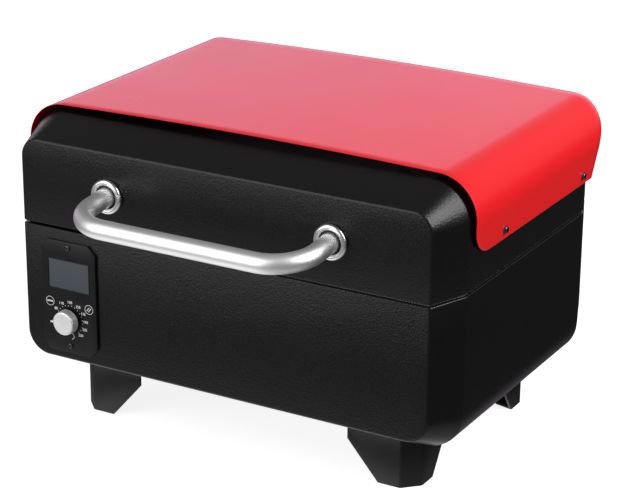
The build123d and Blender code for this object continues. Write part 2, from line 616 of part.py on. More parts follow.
def hopper_bin():
    t, top, knee, neck = LINER_SHEET, LINER_FLANGE_TOP, SEAM - 46.0, SEAM - 91.0
    outlet_x, outlet_y = (-192.0, -158.0), (FIRE_Y - 14.0, FIRE_Y + 14.0)

    def grown(pair, by):
        return (pair[0] + by, pair[1] - by)

    def shape(by, high, low):
        upper = block(grown(HOPPER_X, by), grown(HOPPER_Y, by), (knee, high))
        funnel = loft([rectangle_face(grown(HOPPER_X, by), grown(HOPPER_Y, by), knee),
                       rectangle_face(grown(outlet_x, by), grown(outlet_y, by), neck)], ruled=True)
        return upper + funnel + block(grown(outlet_x, by), grown(outlet_y, by), (low, neck))

    flange = block((-HALF + 1.6, -145.2), grown(HOPPER_Y, -8), (top - t, top))
    bin_ = shape(0, top, SEAM - 102.0) + flange - shape(t, top + 1, SEAM - 103.0)
    return bin_ - rod((-210, FIRE_Y, AUGER_Z), (-140, FIRE_Y, AUGER_Z), AUGER_TUBE_RADIUS)


def hopper_guard():
    """Finger guard: bars across the hopper, spot-welded to one long bar beneath them."""
    z = SEAM - 34.0
    x = (HOPPER_X[0] + LINER_SHEET, HOPPER_X[1] - LINER_SHEET)
    y = (HOPPER_Y[0] + LINER_SHEET, HOPPER_Y[1] - LINER_SHEET)
    center = sum(x) / 2
    bars = [rod((center, y[0], z - 3.0), (center, y[1], z - 3.0), 1.5)]
    count = 9
    for i in range(count):
        place = y[0] + (y[1] - y[0]) * (i + 0.5) / count
        bars.append(rod((x[0], place, z), (x[1], place, z), 1.5))
    return bars


def hopper_lid():
    """A flat lid with turned-up side edges, a finger lip, and knuckles on its left edge."""
    low = LINER_FLANGE_TOP
    x, y = (HOPPER_X[0] + 6, HOPPER_X[1]), (HOPPER_Y[0] - 2, HOPPER_Y[1] + 2)
    lid = block(x, y, (low, low + 1.0))
    lip = (FIRE_Y - 30, FIRE_Y + 30)
    lid += block((x[1] - 1.0, x[1]), lip, (low, low + 9.0))
    lid += block((x[1] - 9.0, x[1]), lip, (low + 8.0, low + 9.0))
    pivot_x, pivot_z = HOPPER_X[0] + 3.0, low + 2.8
    for place in (FIRE_Y - 80, FIRE_Y + 80):
        lid += rod((pivot_x, place - 15, pivot_z), (pivot_x, place + 15, pivot_z), 2.8)
        lid += block((pivot_x, x[0] + 1), (place - 15, place + 15), (low, low + 1.0))
    bore = ((pivot_x, y[0], pivot_z), (pivot_x, y[1], pivot_z))
    lid -= rod(*bore, 1.55)
    hinge = rod((pivot_x, FIRE_Y - 104, pivot_z), (pivot_x, FIRE_Y + 104, pivot_z), 1.5)
    for place in (FIRE_Y - 100, FIRE_Y + 100):
        bracket_x = (HOPPER_X[0] + LINER_SHEET, pivot_x + 2.2)
        hinge += block(bracket_x, (place - 2, place + 2), (SEAM - 14.0, pivot_z + 2.2))
    return lid, hinge


def auger_tube():
    start, end = (-205.0, FIRE_Y, AUGER_Z), (FIRE_X - 33.0, FIRE_Y, AUGER_Z)
    shape = tube(start, end, AUGER_TUBE_RADIUS, AUGER_TUBE_RADIUS - 1.5)
    shape -= block((-190.0, -160.0), (FIRE_Y - 10, FIRE_Y + 10), (AUGER_Z, AUGER_Z + 20))
    cap = rod((-205.0, FIRE_Y, AUGER_Z), (-203.0, FIRE_Y, AUGER_Z), AUGER_TUBE_RADIUS - 1.5)
    cap -= rod((-206.0, FIRE_Y, AUGER_Z), (-202.0, FIRE_Y, AUGER_Z), 4.05)
    return shape + cap


def auger_screw():
    """A shaft with a helical flight, which ends short of the tube's mouth."""
    pitch, turns, inner, outer, thick = 26.0, 7, 3.6, 14.4, 2.4
    start = -199.0
    end = start + pitch * turns
    shaft = rod((-216.0, FIRE_Y, AUGER_Z), (end + 3, FIRE_Y, AUGER_Z), 4.0)
    helix = Helix(pitch=pitch, height=pitch * turns, radius=(inner + outer) / 2)
    section = Plane(origin=helix @ 0, x_dir=(1, 0, 0), z_dir=helix % 0)
    blade = sweep(section * Rectangle(outer - inner, thick), path=helix, is_frenet=True)
    along = Plane(origin=(start, FIRE_Y, AUGER_Z), x_dir=(0, 1, 0), z_dir=(1, 0, 0))
    return shaft + along.location * blade


def auger_gearmotor():
    y, z = FIRE_Y, AUGER_Z
    gearbox = block((-224.0, -207.0), (y - 21, y + 21), (z - 21, z + 21))
    gearbox = fillet(gearbox.edges().filter_by(Axis.X), 5)
    motor = gearbox + rod((-246.0, y, z), (-224.0, y, z), 17.5)
    motor += rod((-207.0, y, z), (-205.0, y, z), 9.0)
    return motor - rod((-217.0, y, z), (-204.0, y, z), 4.05)


# ---- fire ---------------------------------------------------------------------------------
def air_duct():
    """A box that leads the fan's air round the auger tube to the firepot."""
    x, y, z = (-150.0, FIRE_X + 44), DUCT_Y, DUCT_Z
    t = 1.2
    duct = block(x, y, z) - block((x[0] - 1, x[1] - t), (y[0] + t, y[1] - t), (z[0] + t, z[1] - t))
    return duct - rod((FIRE_X, FIRE_Y, z[1] - 3), (FIRE_X, FIRE_Y, z[1] + 1), FIREPOT_RADIUS)


def firepot():
    floor, top = CHAMBER_FLOOR + LINER_SHEET + 1.2, SEAM - 92.0
    pot = rod((FIRE_X, FIRE_Y, floor), (FIRE_X, FIRE_Y, top), FIREPOT_RADIUS)
    pot += rod((FIRE_X, FIRE_Y, top), (FIRE_X, FIRE_Y, top + 2), FIREPOT_RADIUS + 6)
    pot -= rod((FIRE_X, FIRE_Y, floor + 2), (FIRE_X, FIRE_Y, top + 3), FIREPOT_RADIUS - 2)
    pot -= rod((-50.0, FIRE_Y, AUGER_Z), (FIRE_X, FIRE_Y, AUGER_Z), AUGER_TUBE_RADIUS)
    pot -= rod((-50.0, FIRE_Y, IGNITER_Z), (FIRE_X, FIRE_Y, IGNITER_Z), 4.5)
    for turn in range(9):
        angle = radians(-120 + turn * 30)
        for height in (floor + 14.0, floor + 30.0):
            away = (FIRE_X + 50 * cos(angle), FIRE_Y + 50 * sin(angle), height)
            near = (FIRE_X + 20 * cos(angle), FIRE_Y + 20 * sin(angle), height)
            pot -= rod(near, away, 2.5)
    return pot


def igniter_rod():
    body = rod((-20.0, FIRE_Y, IGNITER_Z), (FIRE_X - 22, FIRE_Y, IGNITER_Z), 4.5)
    body += rod((-50.0, FIRE_Y, IGNITER_Z), (-20.0, FIRE_Y, IGNITER_Z), 3.0)
    return fillet(body.edges().sort_by(Axis.X)[-1], 1.5)


def heat_deflector():
    """A folded plate that stands astride the duct and shields the tray from the flame."""
    t, top, floor = 1.5, SEAM - 78.0, CHAMBER_FLOOR + LINER_SHEET
    x, y = (FIRE_X - 75, FIRE_X + 75), (FIRE_Y - 72, FIRE_Y + 72)
    plate = block(x, y, (floor, top)) - block((x[0] - 1, x[1] + 1), (y[0] + t, y[1] - t), (floor - 1, top - t))
    plate = fillet(plate.edges().filter_by(Axis.X).sort_by(Axis.Z)[-2:], 1.4)
    for dx in (-60, -30, 0, 30, 60):
        for dy in (-60, 60):
            plate -= rod((FIRE_X + dx, FIRE_Y + dy, top - 3), (FIRE_X + dx, FIRE_Y + dy, top + 1), 5.0)
    return plate


# ---- chamber ------------------------------------------------------------------------------
def flange_ring(low, high, opening):
    """A flat ring under or over a casing rim, round the chamber's opening."""
    ring = plate_of(casing_plan(2.0), low, high) & block((-145.0, BIG), (-BIG, BIG), (low - 1, high + 1))
    return ring - block(*opening, (low - 1, high + 1))


def chamber_liner():
    t, top = LINER_SHEET, LINER_FLANGE_TOP
    inner_x, inner_y = (CHAMBER_X[0] + t, CHAMBER_X[1] - t), (CHAMBER_Y[0] + t, CHAMBER_Y[1] - t)

    def tub(x, y, floor, rim, radius):
        shape = block(x, y, (floor, rim))
        shape = fillet(shape.edges().filter_by(Axis.Z), radius)
        return fillet(shape.faces().sort_by(Axis.Z)[0].edges(), radius - 2)

    outer = tub(CHAMBER_X, CHAMBER_Y, CHAMBER_FLOOR, top, 24)
    inner = tub(inner_x, inner_y, CHAMBER_FLOOR + t, top + 5, 23)
    ring = plate_of(casing_plan(2.0), top - t, top) & block((-145.0, BIG), (-BIG, BIG), (top - 2, top))
    liner = outer + ring - inner
    liner -= block((CHAMBER_X[0] - 1, CHAMBER_X[0] + 30), DUCT_Y, DUCT_Z)
    spout = tube((FIRE_X, DRAIN_Y, LEG_HEIGHT - 1), (FIRE_X, DRAIN_Y, CHAMBER_FLOOR + t), 9.0, 8.0)
    liner -= rod((FIRE_X, DRAIN_Y, CHAMBER_FLOOR - 1), (FIRE_X, DRAIN_Y, CHAMBER_FLOOR + 3), 8.0)
    return liner + spout


def rack_ledges():
    """Short shelves on the liner's side walls for the tray and, above it, the grate."""
    ledges = []
    left, right = CHAMBER_X[0] + LINER_SHEET, CHAMBER_X[1] - LINER_SHEET
    for y in (FRONT + 80, FRONT + 284):
        for top, near, far in ((SEAM - 66.0, -113.0, 215.0), (SEAM - 33.0, -119.5, 221.5)):
            for wall, tip in ((left, near), (right, far)):
                shelf = block(sorted((wall, tip)), (y - 20, y + 20), (top - 1.5, top))
                face = sorted((wall, wall + (1.5 if tip > wall else -1.5)))
                shelf += block(face, (y - 20, y + 20), (top - 12, top))
                ledges.append(shelf)
    return ledges


def drip_tray():
    """A shallow pan with a drain spout over the liner's own."""
    t, low, high = 1.2, SEAM - 66.0, SEAM - 52.0
    x, y = (-118.0, 220.0), (FRONT + 24, FRONT + 340)
    pan = block(x, y, (low, high))
    pan = fillet(pan.edges().filter_by(Axis.Z), 12)
    hollow = block((x[0] + t, x[1] - t), (y[0] + t, y[1] - t), (low + t, high + 1))
    pan -= fillet(hollow.edges().filter_by(Axis.Z), 12 - t)
    pan += rod((FIRE_X, DRAIN_Y, low - 14), (FIRE_X, DRAIN_Y, low + t), 6.5)
    return pan - rod((FIRE_X, DRAIN_Y, low - 15), (FIRE_X, DRAIN_Y, low + t + 1), 5.5)


def cooking_grate():
    """A welded wire grate: a round-cornered frame, cross bars and closely spaced wires."""
    x, y, z, r = (-121.0, 223.0), (FRONT + 27, FRONT + 337), SEAM - 29.7, 3.0
    corners = [(x[0], y[0]), (x[1], y[0]), (x[1], y[1]), (x[0], y[1])]
    path = FilletPolyline(*[(*c, z) for c in corners], radius=16, close=True)
    grate = sweep(Plane(origin=path @ 0, z_dir=path % 0) * Circle(r), path=path)
    for share in (0.25, 0.5, 0.75):
        place = y[0] + (y[1] - y[0]) * share
        grate += rod((x[0], place, z), (x[1], place, z), 2.5)
    count = 23
    for i in range(count):
        place = x[0] + (x[1] - x[0]) * (i + 1) / (count + 1)
        grate += rod((place, y[0] - 1, z + 3.8), (place, y[1] + 1, z + 3.8), 2.0)
    return grate


def temperature_probe():
    """A stainless rod along the left wall, in a bracket on the wall."""
    z, x = SEAM - 13.0, -130.0
    probe = rod((x, FRONT + 282, z), (x, FRONT + 330, z), 2.0)
    probe = fillet(probe.edges().sort_by(Axis.Y)[0], 1.5)
    wall = CHAMBER_X[0] + LINER_SHEET
    clip = block((wall, x + 2.6), (FRONT + 308, FRONT + 318), (z - 3.5, z + 3.5))
    return probe + clip


# ---- lid inside ---------------------------------------------------------------------------
def lid_liner():
    t, low, high = LINER_SHEET, LID_RIM + SHEET, SEAM + 88.0
    x, y = (-134.0, 230.0), (FRONT + 20, FRONT + 344)

    def pan(by, bottom):
        shape = block((x[0] + by, x[1] - by), (y[0] + by, y[1] - by), (bottom, high - by))
        shape = fillet(shape.edges().filter_by(Axis.Z), 16 - by)
        return fillet(shape.faces().sort_by(Axis.Z)[-1].edges(), 14 - by)

    ring = plate_of(casing_plan(2.0), low, low + t) & block((-145.0, BIG), (-BIG, BIG), (low, low + 2))
    liner = pan(0, low) + ring - pan(t, low - 1)
    for cut in slots(9, 14, (6, 26), (FIRE_X, SEAM + 50), y[1]):
        liner -= cut
    return liner


def lid_gasket():
    """A fibre strip round the chamber: on the base rim, and on the liner flange at the left."""
    outside = plate_of(casing_plan(3.0), BASE_RIM, LID_RIM)
    outside &= block((-145.0, BIG), (-BIG, BIG), (0, BIG))
    ring = outside - plate_of(casing_plan(9.0), BASE_RIM - 1, LID_RIM + 1)
    left = block((-144.0, -138.0), (FRONT + 10.5, REAR - 10.5), (LINER_FLANGE_TOP, LID_RIM + SHEET))
    ends = block((-144.0, -138.0), (FRONT + 3, REAR - 3), (BASE_RIM, LID_RIM))
    return ring + ends + left


# ---- grease drawer ------------------------------------------------------------------------
def grease_drawer():
    """A shallow drawer under the base, with a pull lip at its rear."""
    t, x, y, z = 1.0, (FIRE_X - 55, FIRE_X + 55), (FRONT + 150, FRONT + 330), (29.0, 50.0)
    drawer = block(x, y, z) - block((x[0] + t, x[1] - t), (y[0] + t, y[1] - t), (z[0] + t, z[1] + 1))
    for side in x:
        edge = sorted((side, side + (5 if side > FIRE_X else -5)))
        drawer += block(edge, y, (z[1] - t, z[1]))
    drawer += block((FIRE_X - 25, FIRE_X + 25), (y[1], y[1] + 14), (z[1] - t, z[1]))
    drawer += block((FIRE_X - 25, FIRE_X + 25), (y[1] + 13, y[1] + 14), (z[1] - 8, z[1]))
    return drawer


def drawer_rails():
    """Z-shaped rails under the base that carry the drawer's side flanges."""
    rails = []
    for side in (-1, 1):
        inner = FIRE_X + side * 56.5
        outer = FIRE_X + side * 62.5
        y = (FRONT + 145, FRONT + 330)
        rail = block(sorted((inner, outer)), y, (47.5, 48.7))
        rail += block(sorted((outer, outer - side * 1.2)), y, (47.5, LEG_HEIGHT))
        rail += block(sorted((outer - side * 1.2, outer + side * 9)), y, (LEG_HEIGHT - 1.2, LEG_HEIGHT))
        rails.append(rail)
    return rails


def build():
    base_front, base_wrap, base_rear = base_casing()
    lid_front, lid_wrap, lid_rear = lid_casing()
    cover = lid_cover()
    spacers, cover_screws, cover_nuts = cover_fixings(cover)
    isolators, inserts, handle_screws = handle_small_parts()
    window, display, board, standoffs, bush = electronics()
    knob, shaft = dial_knob()
    bezel, rocker = power_switch()
    frame, impeller, guard = fan()
    hopper_cover, hopper_hinge = hopper_lid()
    return {
        "base_front_cap": base_front,
        "base_side_wrap": base_wrap,
        "base_rear_cap": base_rear,
        "lid_front_cap": lid_front,
        "lid_side_wrap": lid_wrap,
        "lid_rear_cap": lid_rear,
        "lid_cover": cover,
        "cover_spacers": spacers,
        "cover_screws": cover_screws,
        "cover_nuts": cover_nuts,
        "lid_liner": lid_liner(),
        "lid_gasket": lid_gasket(),
        "handle_tube": handle_tube(),
        "handle_trim_rings": handle_trim(),
        "handle_isolators": isolators,
        "handle_inserts": inserts,
        "handle_screws": handle_screws,
        "hinge_leaves_base": hinge_leaves(-1),
        "hinge_leaves_lid": hinge_leaves(1),
        "hinge_pins": hinge_pins(),
        "hinge_rivets_base": hinge_rivets(-1),
        "hinge_rivets_lid": hinge_rivets(1),
        **legs(),
        "leg_screws": leg_screws(),
        "control_plate": control_plate(),
        "control_plate_screws": control_plate_screws(),
        "display_window": window,
        "display_module": display,
        "circuit_board": board,
        "board_standoffs": standoffs,
        "dial_bush": bush,
        "dial_knob": knob,
        "dial_shaft": shaft,
        "power_inlet": power_inlet(),
        "switch_bezel": bezel,
        "switch_rocker": rocker,
        "fan_frame": frame,
        "fan_impeller": impeller,
        "fan_guard": guard,
        "hopper_bin": hopper_bin(),
        "hopper_guard": hopper_guard(),
        "hopper_lid": hopper_cover,
        "hopper_hinge_rod": hopper_hinge,
        "auger_tube": auger_tube(),
        "auger_screw": auger_screw(),
        "auger_gearmotor": auger_gearmotor(),
        "air_duct": air_duct(),
        "firepot": firepot(),
        "igniter_rod": igniter_rod(),
        "heat_deflector": heat_deflector(),
        "chamber_liner": chamber_liner(),
        "rack_ledges": rack_ledges(),
        "drip_tray": drip_tray(),
        "cooking_grate": cooking_grate(),
        "temperature_probe": temperature_probe(),
        "grease_drawer": grease_drawer(),
        "drawer_rails": drawer_rails(),
    }


def save(name, shape):
    """Writes one piece, or a group of alike pieces as separate solids, to its own file."""
    pieces = shape if isinstance(shape, list) else [shape]
    solids = [solid for piece in pieces for solid in piece.solids()]
    export_step(solids[0] if len(solids) == 1 else Compound(children=solids), f"parts/{name}.step")


os.makedirs("parts", exist_ok=True)
for part_name, part_shape in build().items():
    save(part_name, part_shape)
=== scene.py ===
"""Looks of a portable pellet grill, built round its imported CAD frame. Metres throughout."""

import json
from math import asin, cos, degrees, hypot, pi, radians, sin, sqrt, tan

import bmesh
import bpy
from mathutils import Matrix, Vector

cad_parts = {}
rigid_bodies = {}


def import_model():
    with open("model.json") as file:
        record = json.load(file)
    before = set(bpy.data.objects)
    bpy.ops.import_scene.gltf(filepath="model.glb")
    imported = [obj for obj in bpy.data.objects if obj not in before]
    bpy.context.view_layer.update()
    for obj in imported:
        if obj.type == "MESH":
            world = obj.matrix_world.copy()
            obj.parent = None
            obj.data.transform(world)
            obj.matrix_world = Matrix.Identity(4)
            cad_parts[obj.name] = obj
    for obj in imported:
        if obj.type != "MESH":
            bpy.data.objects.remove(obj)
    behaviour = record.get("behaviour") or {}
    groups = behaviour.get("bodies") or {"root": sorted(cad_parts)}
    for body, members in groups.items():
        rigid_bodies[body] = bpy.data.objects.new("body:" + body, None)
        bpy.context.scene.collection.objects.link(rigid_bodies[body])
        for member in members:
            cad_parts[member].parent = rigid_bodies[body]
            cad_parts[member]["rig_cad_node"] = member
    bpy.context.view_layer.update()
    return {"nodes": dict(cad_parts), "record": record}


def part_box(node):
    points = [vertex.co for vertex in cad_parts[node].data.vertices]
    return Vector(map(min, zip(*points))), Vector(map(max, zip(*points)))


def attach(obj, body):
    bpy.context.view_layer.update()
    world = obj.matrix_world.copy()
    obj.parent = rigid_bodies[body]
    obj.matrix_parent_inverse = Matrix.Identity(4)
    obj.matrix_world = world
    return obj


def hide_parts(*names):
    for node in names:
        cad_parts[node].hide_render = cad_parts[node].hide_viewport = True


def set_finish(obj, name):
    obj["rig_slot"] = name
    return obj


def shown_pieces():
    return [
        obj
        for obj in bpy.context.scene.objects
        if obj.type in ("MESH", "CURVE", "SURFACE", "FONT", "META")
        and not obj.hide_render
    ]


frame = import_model()
MM = 0.001
SLOT_OF = {s["node"]: s["material_slot"] for s in frame["record"]["subparts"]}
BODY_OF = {n: b for b, ns in frame["record"]["behaviour"]["bodies"].items() for n in ns}


# ---- places read from the frame -----------------------------------------------------------
def low(node):
    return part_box(node)[0]


def high(node):
    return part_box(node)[1]


def middle(node):
    return (low(node) + high(node)) / 2


FRONT = low("base_front_cap").y
REAR = high("base_rear_cap").y
FRONT_CREASE = low("base_side_wrap").y
REAR_CREASE = high("base_side_wrap").y
HALF = high("base_side_wrap").x
BASE_RIM = high("base_side_wrap").z
LID_RIM = low("lid_side_wrap").z
BASE_FLOOR = low("base_side_wrap").z
LID_TOP = high("lid_side_wrap").z
SEAM = (BASE_RIM + LID_RIM) / 2
BEVEL = 16.6 * MM  # how far the end panels step in
BASE_STEP = 21.0 * MM  # how far the base's end panels step up
LID_STEP = 18.3 * MM  # and the lid's step down
CASING_RADIUS = 40 * MM
BASE_END_RADIUS = 25 * MM
LID_END_RADIUS = 20 * MM
SHEET = 1.2 * MM
RIM_WIDTH = 10 * MM
PANEL_BEND = 2.0 * MM  # setback of the bend round each end panel
RIM_BEND = 1.3 * MM


# ---- meshes -------------------------------------------------------------------------------
def piece(name, mesh, body, slot, replaces=()):
    """A finished piece: rides on its body and stands for the CAD nodes it replaces."""
    obj = bpy.data.objects.new(name, mesh)
    bpy.context.scene.collection.objects.link(obj)
    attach(obj, body)
    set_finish(obj, slot)
    if replaces:
        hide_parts(*replaces)
    return obj


def stand_in(name, mesh, *nodes):
    """A piece that replaces CAD nodes, on their body and with their material slot."""
    return piece(name, mesh, BODY_OF[nodes[0]], SLOT_OF[nodes[0]], nodes)


def mesh_of(verts, faces, sharp=30):
    mesh = bpy.data.meshes.new("mesh")
    mesh.from_pydata([tuple(v) for v in verts], [], faces)
    return shaded(mesh, sharp)


def shaded(mesh, sharp=30):
    mesh.validate()
    mesh.shade_smooth()
    mesh.set_sharp_from_angle(angle=radians(sharp))
    return mesh


def from_bmesh(bm, sharp=30):
    mesh = bpy.data.meshes.new("mesh")
    bm.to_mesh(mesh)
    bm.free()
    return shaded(mesh, sharp)


def with_modifiers(mesh, settings, sharp=30):
    """The mesh after a list of (modifier type, {property: value})."""
    obj = bpy.data.objects.new("work", mesh)
    bpy.context.scene.collection.objects.link(obj)
    for kind, values in settings:
        modifier = obj.modifiers.new(kind, kind)
        for key, value in values.items():
            setattr(modifier, key, value)
    bpy.context.view_layer.update()
    seen = obj.evaluated_get(bpy.context.evaluated_depsgraph_get())
    result = bpy.data.meshes.new_from_object(seen)
    bpy.data.objects.remove(obj)
    return shaded(result, sharp)


def joined(meshes, sharp=30):
    bm = bmesh.new()
    for mesh in meshes:
        bm.from_mesh(mesh)
    return from_bmesh(bm, sharp)


def bevelled(bm, edges, offset, segments):
    bmesh.ops.bevel(bm, geom=edges, offset=offset, segments=segments, profile=0.5,
                    affect="EDGES", clamp_overlap=True)


def turn(edge):
    return degrees(edge.calc_face_angle(0.0))


def cad_copy(node, flat=True):
    """A CAD node's mesh as a welded bmesh, with the edges inside its flat faces dissolved."""
    bm = bmesh.new()
    bm.from_mesh(frame["nodes"][node].data)
    bmesh.ops.remove_doubles(bm, verts=bm.verts, dist=2e-6)
    if flat:
        bmesh.ops.dissolve_limit(bm, angle_limit=radians(1), verts=bm.verts, edges=bm.edges)
    return bm


def facing_out(verts, faces, sharp=30, weld=False):
    """A mesh with its faces turned outwards, and its first and last rings welded if asked."""
    bm = bmesh.new()
    bm.from_mesh(mesh_of(verts, faces))
    if weld:
        bmesh.ops.remove_doubles(bm, verts=bm.verts, dist=1e-7)
    bmesh.ops.recalc_face_normals(bm, faces=bm.faces)
    return from_bmesh(bm, sharp)


def lathe(profile, center, axis, segments=48, sharp=30):
    """Turns a (distance along axis, radius) profile into a closed solid of revolution."""
    axis = Vector(axis).normalized()
    side = axis.orthogonal().normalized()
    other = axis.cross(side)
    verts, rings = [], []
    for along, radius in profile:
        if radius < 1e-7:
            rings.append([len(verts)])
            verts.append(Vector(center) + axis * along)
            continue
        rings.append(list(range(len(verts), len(verts) + segments)))
        for i in range(segments):
            angle = 2 * pi * i / segments
            out = side * cos(angle) + other * sin(angle)
            verts.append(Vector(center) + axis * along + out * radius)
    faces = []
    for a, b in zip(rings, rings[1:]):
        for i in range(segments):
            j = (i + 1) % segments
            if len(a) == 1:
                faces.append((a[0], b[i], b[j]))
            elif len(b) == 1:
                faces.append((a[i], b[0], a[j]))
            else:
                faces.append((a[i], b[i], b[j], a[j]))
    if len(rings[0]) > 1 and profile[0] == profile[-1]:
        return facing_out(verts, faces, sharp, weld=True)
    if len(rings[0]) > 1:
        faces.append(tuple(reversed(rings[0])))
    if len(rings[-1]) > 1:
        faces.append(tuple(rings[-1]))
    return facing_out(verts, faces, sharp)


def arc(center, radius, start, end, steps):
    """Points of an arc in a plane, with angles in degrees."""
    angles = [radians(start + (end - start) * i / steps) for i in range(steps + 1)]
    return [(center[0] + radius * cos(a), center[1] + radius * sin(a)) for a in angles]


def slab(outline, thickness, to_world, edge=0.0, segments=2):
    """A flat plate with the outline, rounded on its front edges, placed by to_world(x, y, z)."""
    bm = bmesh.new()
    front = [bm.verts.new((x, y, 0)) for x, y in outline]
    face = bm.faces.new(front)
    made = bmesh.ops.extrude_face_region(bm, geom=[face])
    for v in made["geom"]:
        if isinstance(v, bmesh.types.BMVert):
            v.co.z = -thickness
    bmesh.ops.recalc_face_normals(bm, faces=bm.faces)
    if edge:
        bevelled(bm, [e for e in bm.edges if all(abs(v.co.z) < 1e-9 for v in e.verts)], edge, segments)
    for v in bm.verts:
        v.co = to_world(*v.co)
    bmesh.ops.recalc_face_normals(bm, faces=bm.faces)
    return from_bmesh(bm)


# ---- materials ----------------------------------------------------------------------------
def add_node(tree, kind, inputs=(), **properties):
    """A shader node with its properties set, and its inputs set or linked."""
    made = tree.nodes.new("ShaderNode" + kind)
    for key, value in properties.items():
        setattr(made, key, value)
    for key, value in dict(inputs).items():
        if isinstance(value, bpy.types.NodeSocket):
            tree.links.new(value, made.inputs[key])
        else:
            made.inputs[key].default_value = value
    return made


class Paint:
    """A procedural material: a Principled shader and the textures that feed it."""

    def __init__(self, name, color, roughness, metallic=0.0, **values):
        self.material = bpy.data.materials.new(name)
        self.material.use_nodes = True
        self.tree = self.material.node_tree
        self.shader = self.tree.nodes["Principled BSDF"]
        self.shader.inputs["Base Color"].default_value = (*color, 1)
        self.shader.inputs["Roughness"].default_value = roughness
        self.shader.inputs["Metallic"].default_value = metallic
        for key, value in values.items():
            self.shader.inputs[key.replace("_", " ")].default_value = value
        self.where = self.tree.nodes.new("ShaderNodeTexCoord").outputs["Object"]

    def node(self, kind, inputs=(), **properties):
        return add_node(self.tree, kind, inputs, **properties)

    def stretched(self, scale):
        """Object coordinates, scaled by an amount along each axis."""
        return self.node("Mapping", {"Vector": self.where, "Scale": scale}).outputs["Vector"]

    def noise(self, scale, detail=2.0, roughness=0.5, vector=None):
        inputs = {"Vector": vector or self.where, "Scale": scale}
        inputs.update({"Detail": detail, "Roughness": roughness})
        return self.node("TexNoise", inputs).outputs["Fac"]

    def cells(self, scale, feature="F1", output="Distance", vector=None):
        inputs = {"Vector": vector or self.where, "Scale": scale}
        return self.node("TexVoronoi", inputs, feature=feature).outputs[output]

    def levels(self, value, low_in, high_in, low_out, high_out):
        inputs = {0: value, 1: low_in, 2: high_in, 3: low_out, 4: high_out}
        return self.node("MapRange", inputs).outputs[0]

    def blend(self, factor, first, second):
        """A colour between two, each a colour or a socket."""
        mix = self.node("Mix", data_type="RGBA")
        for key, value in ((6, first), (7, second), (0, factor)):
            if isinstance(value, bpy.types.NodeSocket):
                self.tree.links.new(value, mix.inputs[key])
            else:
                mix.inputs[key].default_value = value if key == 0 else (*value, 1)
        return mix.outputs[2]

    def maths(self, operation, first, second=0.0):
        return self.node("Math", {0: first, 1: second}, operation=operation).outputs[0]

    def set(self, name, socket):
        self.tree.links.new(socket, self.shader.inputs[name])
        return self

    def bump(self, height, strength, distance):
        inputs = {"Height": height, "Strength": strength, "Distance": distance}
        if self.shader.inputs["Normal"].links:
            inputs["Normal"] = self.shader.inputs["Normal"].links[0].from_socket
        self.tree.links.new(self.node("Bump", inputs).outputs["Normal"], self.shader.inputs["Normal"])
        return self


def powder_coat():
    """Black powder coat with a fine leathery grain."""
    p = Paint("powder_coat", (0.004, 0.004, 0.0045), 0.29, IOR=1.4)
    grain = p.noise(430, 4.0, 0.6)
    pebbles = p.cells(700, "SMOOTH_F1")
    p.bump(p.maths("ADD", grain, p.maths("MULTIPLY", pebbles, 0.6)), 0.6, 0.0004)
    p.set("Roughness", p.levels(p.noise(14, 4.0), -0.5, 1.5, 0.20, 0.36))
    dust = p.levels(p.noise(2600, 1.0), 0.62, 0.75, 0.0, 0.35)
    return p.set("Base Color", p.blend(dust, (0.004, 0.004, 0.0045), (0.02, 0.02, 0.021))).material


def leg_paint():
    p = Paint("leg_paint", (0.007, 0.007, 0.0075), 0.36)
    p.bump(p.noise(700, 2.0), 0.25, 0.00025)
    p.set("Roughness", p.levels(p.noise(20, 3.0), 0.3, 0.7, 0.32, 0.42))
    wear = p.levels(p.noise(60, 4.0), 0.6, 0.8, 0.0, 0.3)
    return p.set("Base Color", p.blend(wear, (0.006, 0.006, 0.0065), (0.014, 0.014, 0.015))).material


def red_enamel():
    """Stoved red enamel: a slight orange peel, and a faint unevenness in its depth."""
    p = Paint("red_enamel", (0.83, 0.014, 0.016), 0.26, Specular_Tint=(1, 0.76, 1, 1))
    p.bump(p.noise(260, 2.0), 0.04, 0.0003)
    p.set("Roughness", p.levels(p.noise(9, 1.0), -0.5, 1.5, 0.20, 0.32))
    tone = p.levels(p.noise(5, 0.0), -0.5, 1.5, 0.0, 1.0)
    return p.set("Base Color", p.blend(tone, (0.79, 0.013, 0.015), (0.84, 0.015, 0.017))).material


def satin_steel():
    """Stainless tube, brushed along its length."""
    p = Paint("satin_steel", (0.93, 0.93, 0.935), 0.45, 1.0)
    lines = p.noise(1.0, 3.0, 0.7, p.stretched((90, 2600, 2600)))
    p.bump(lines, 0.05, 0.00005)
    p.set("Roughness", p.levels(lines, 0.0, 1.0, 0.40, 0.50))
    return p.material


def polished_steel():
    p = Paint("polished_steel", (0.84, 0.84, 0.84), 0.24, 1.0)
    p.set("Roughness", p.levels(p.noise(160, 3.0), 0.0, 1.0, 0.19, 0.29))
    return p.material


RINGS_PER_METRE = 5000  # of the turning marks on the dial knob


def spun_metal(center):
    """Turned aluminium: fine rings round the knob's own axis."""
    p = Paint("spun_aluminium", (0.96, 0.96, 0.965), 0.48, 1.0)
    offset = tuple(-c for c in center)
    about = p.node("Mapping", {"Vector": p.where, "Location": offset}).outputs["Vector"]
    flat = p.node("VectorMath", {0: about, 1: (1, 0, 1)}, operation="MULTIPLY").outputs["Vector"]
    radius = p.node("VectorMath", {0: flat}, operation="LENGTH").outputs["Value"]
    outwards = p.node("CombineXYZ", {"X": p.maths("MULTIPLY", radius, RINGS_PER_METRE)}).outputs[0]
    rings = p.noise(1.0, 2.0, 0.7, outwards)
    p.bump(rings, 0.15, 0.00008)
    p.set("Roughness", p.levels(rings, 0.0, 1.0, 0.50, 0.64))
    return p.material


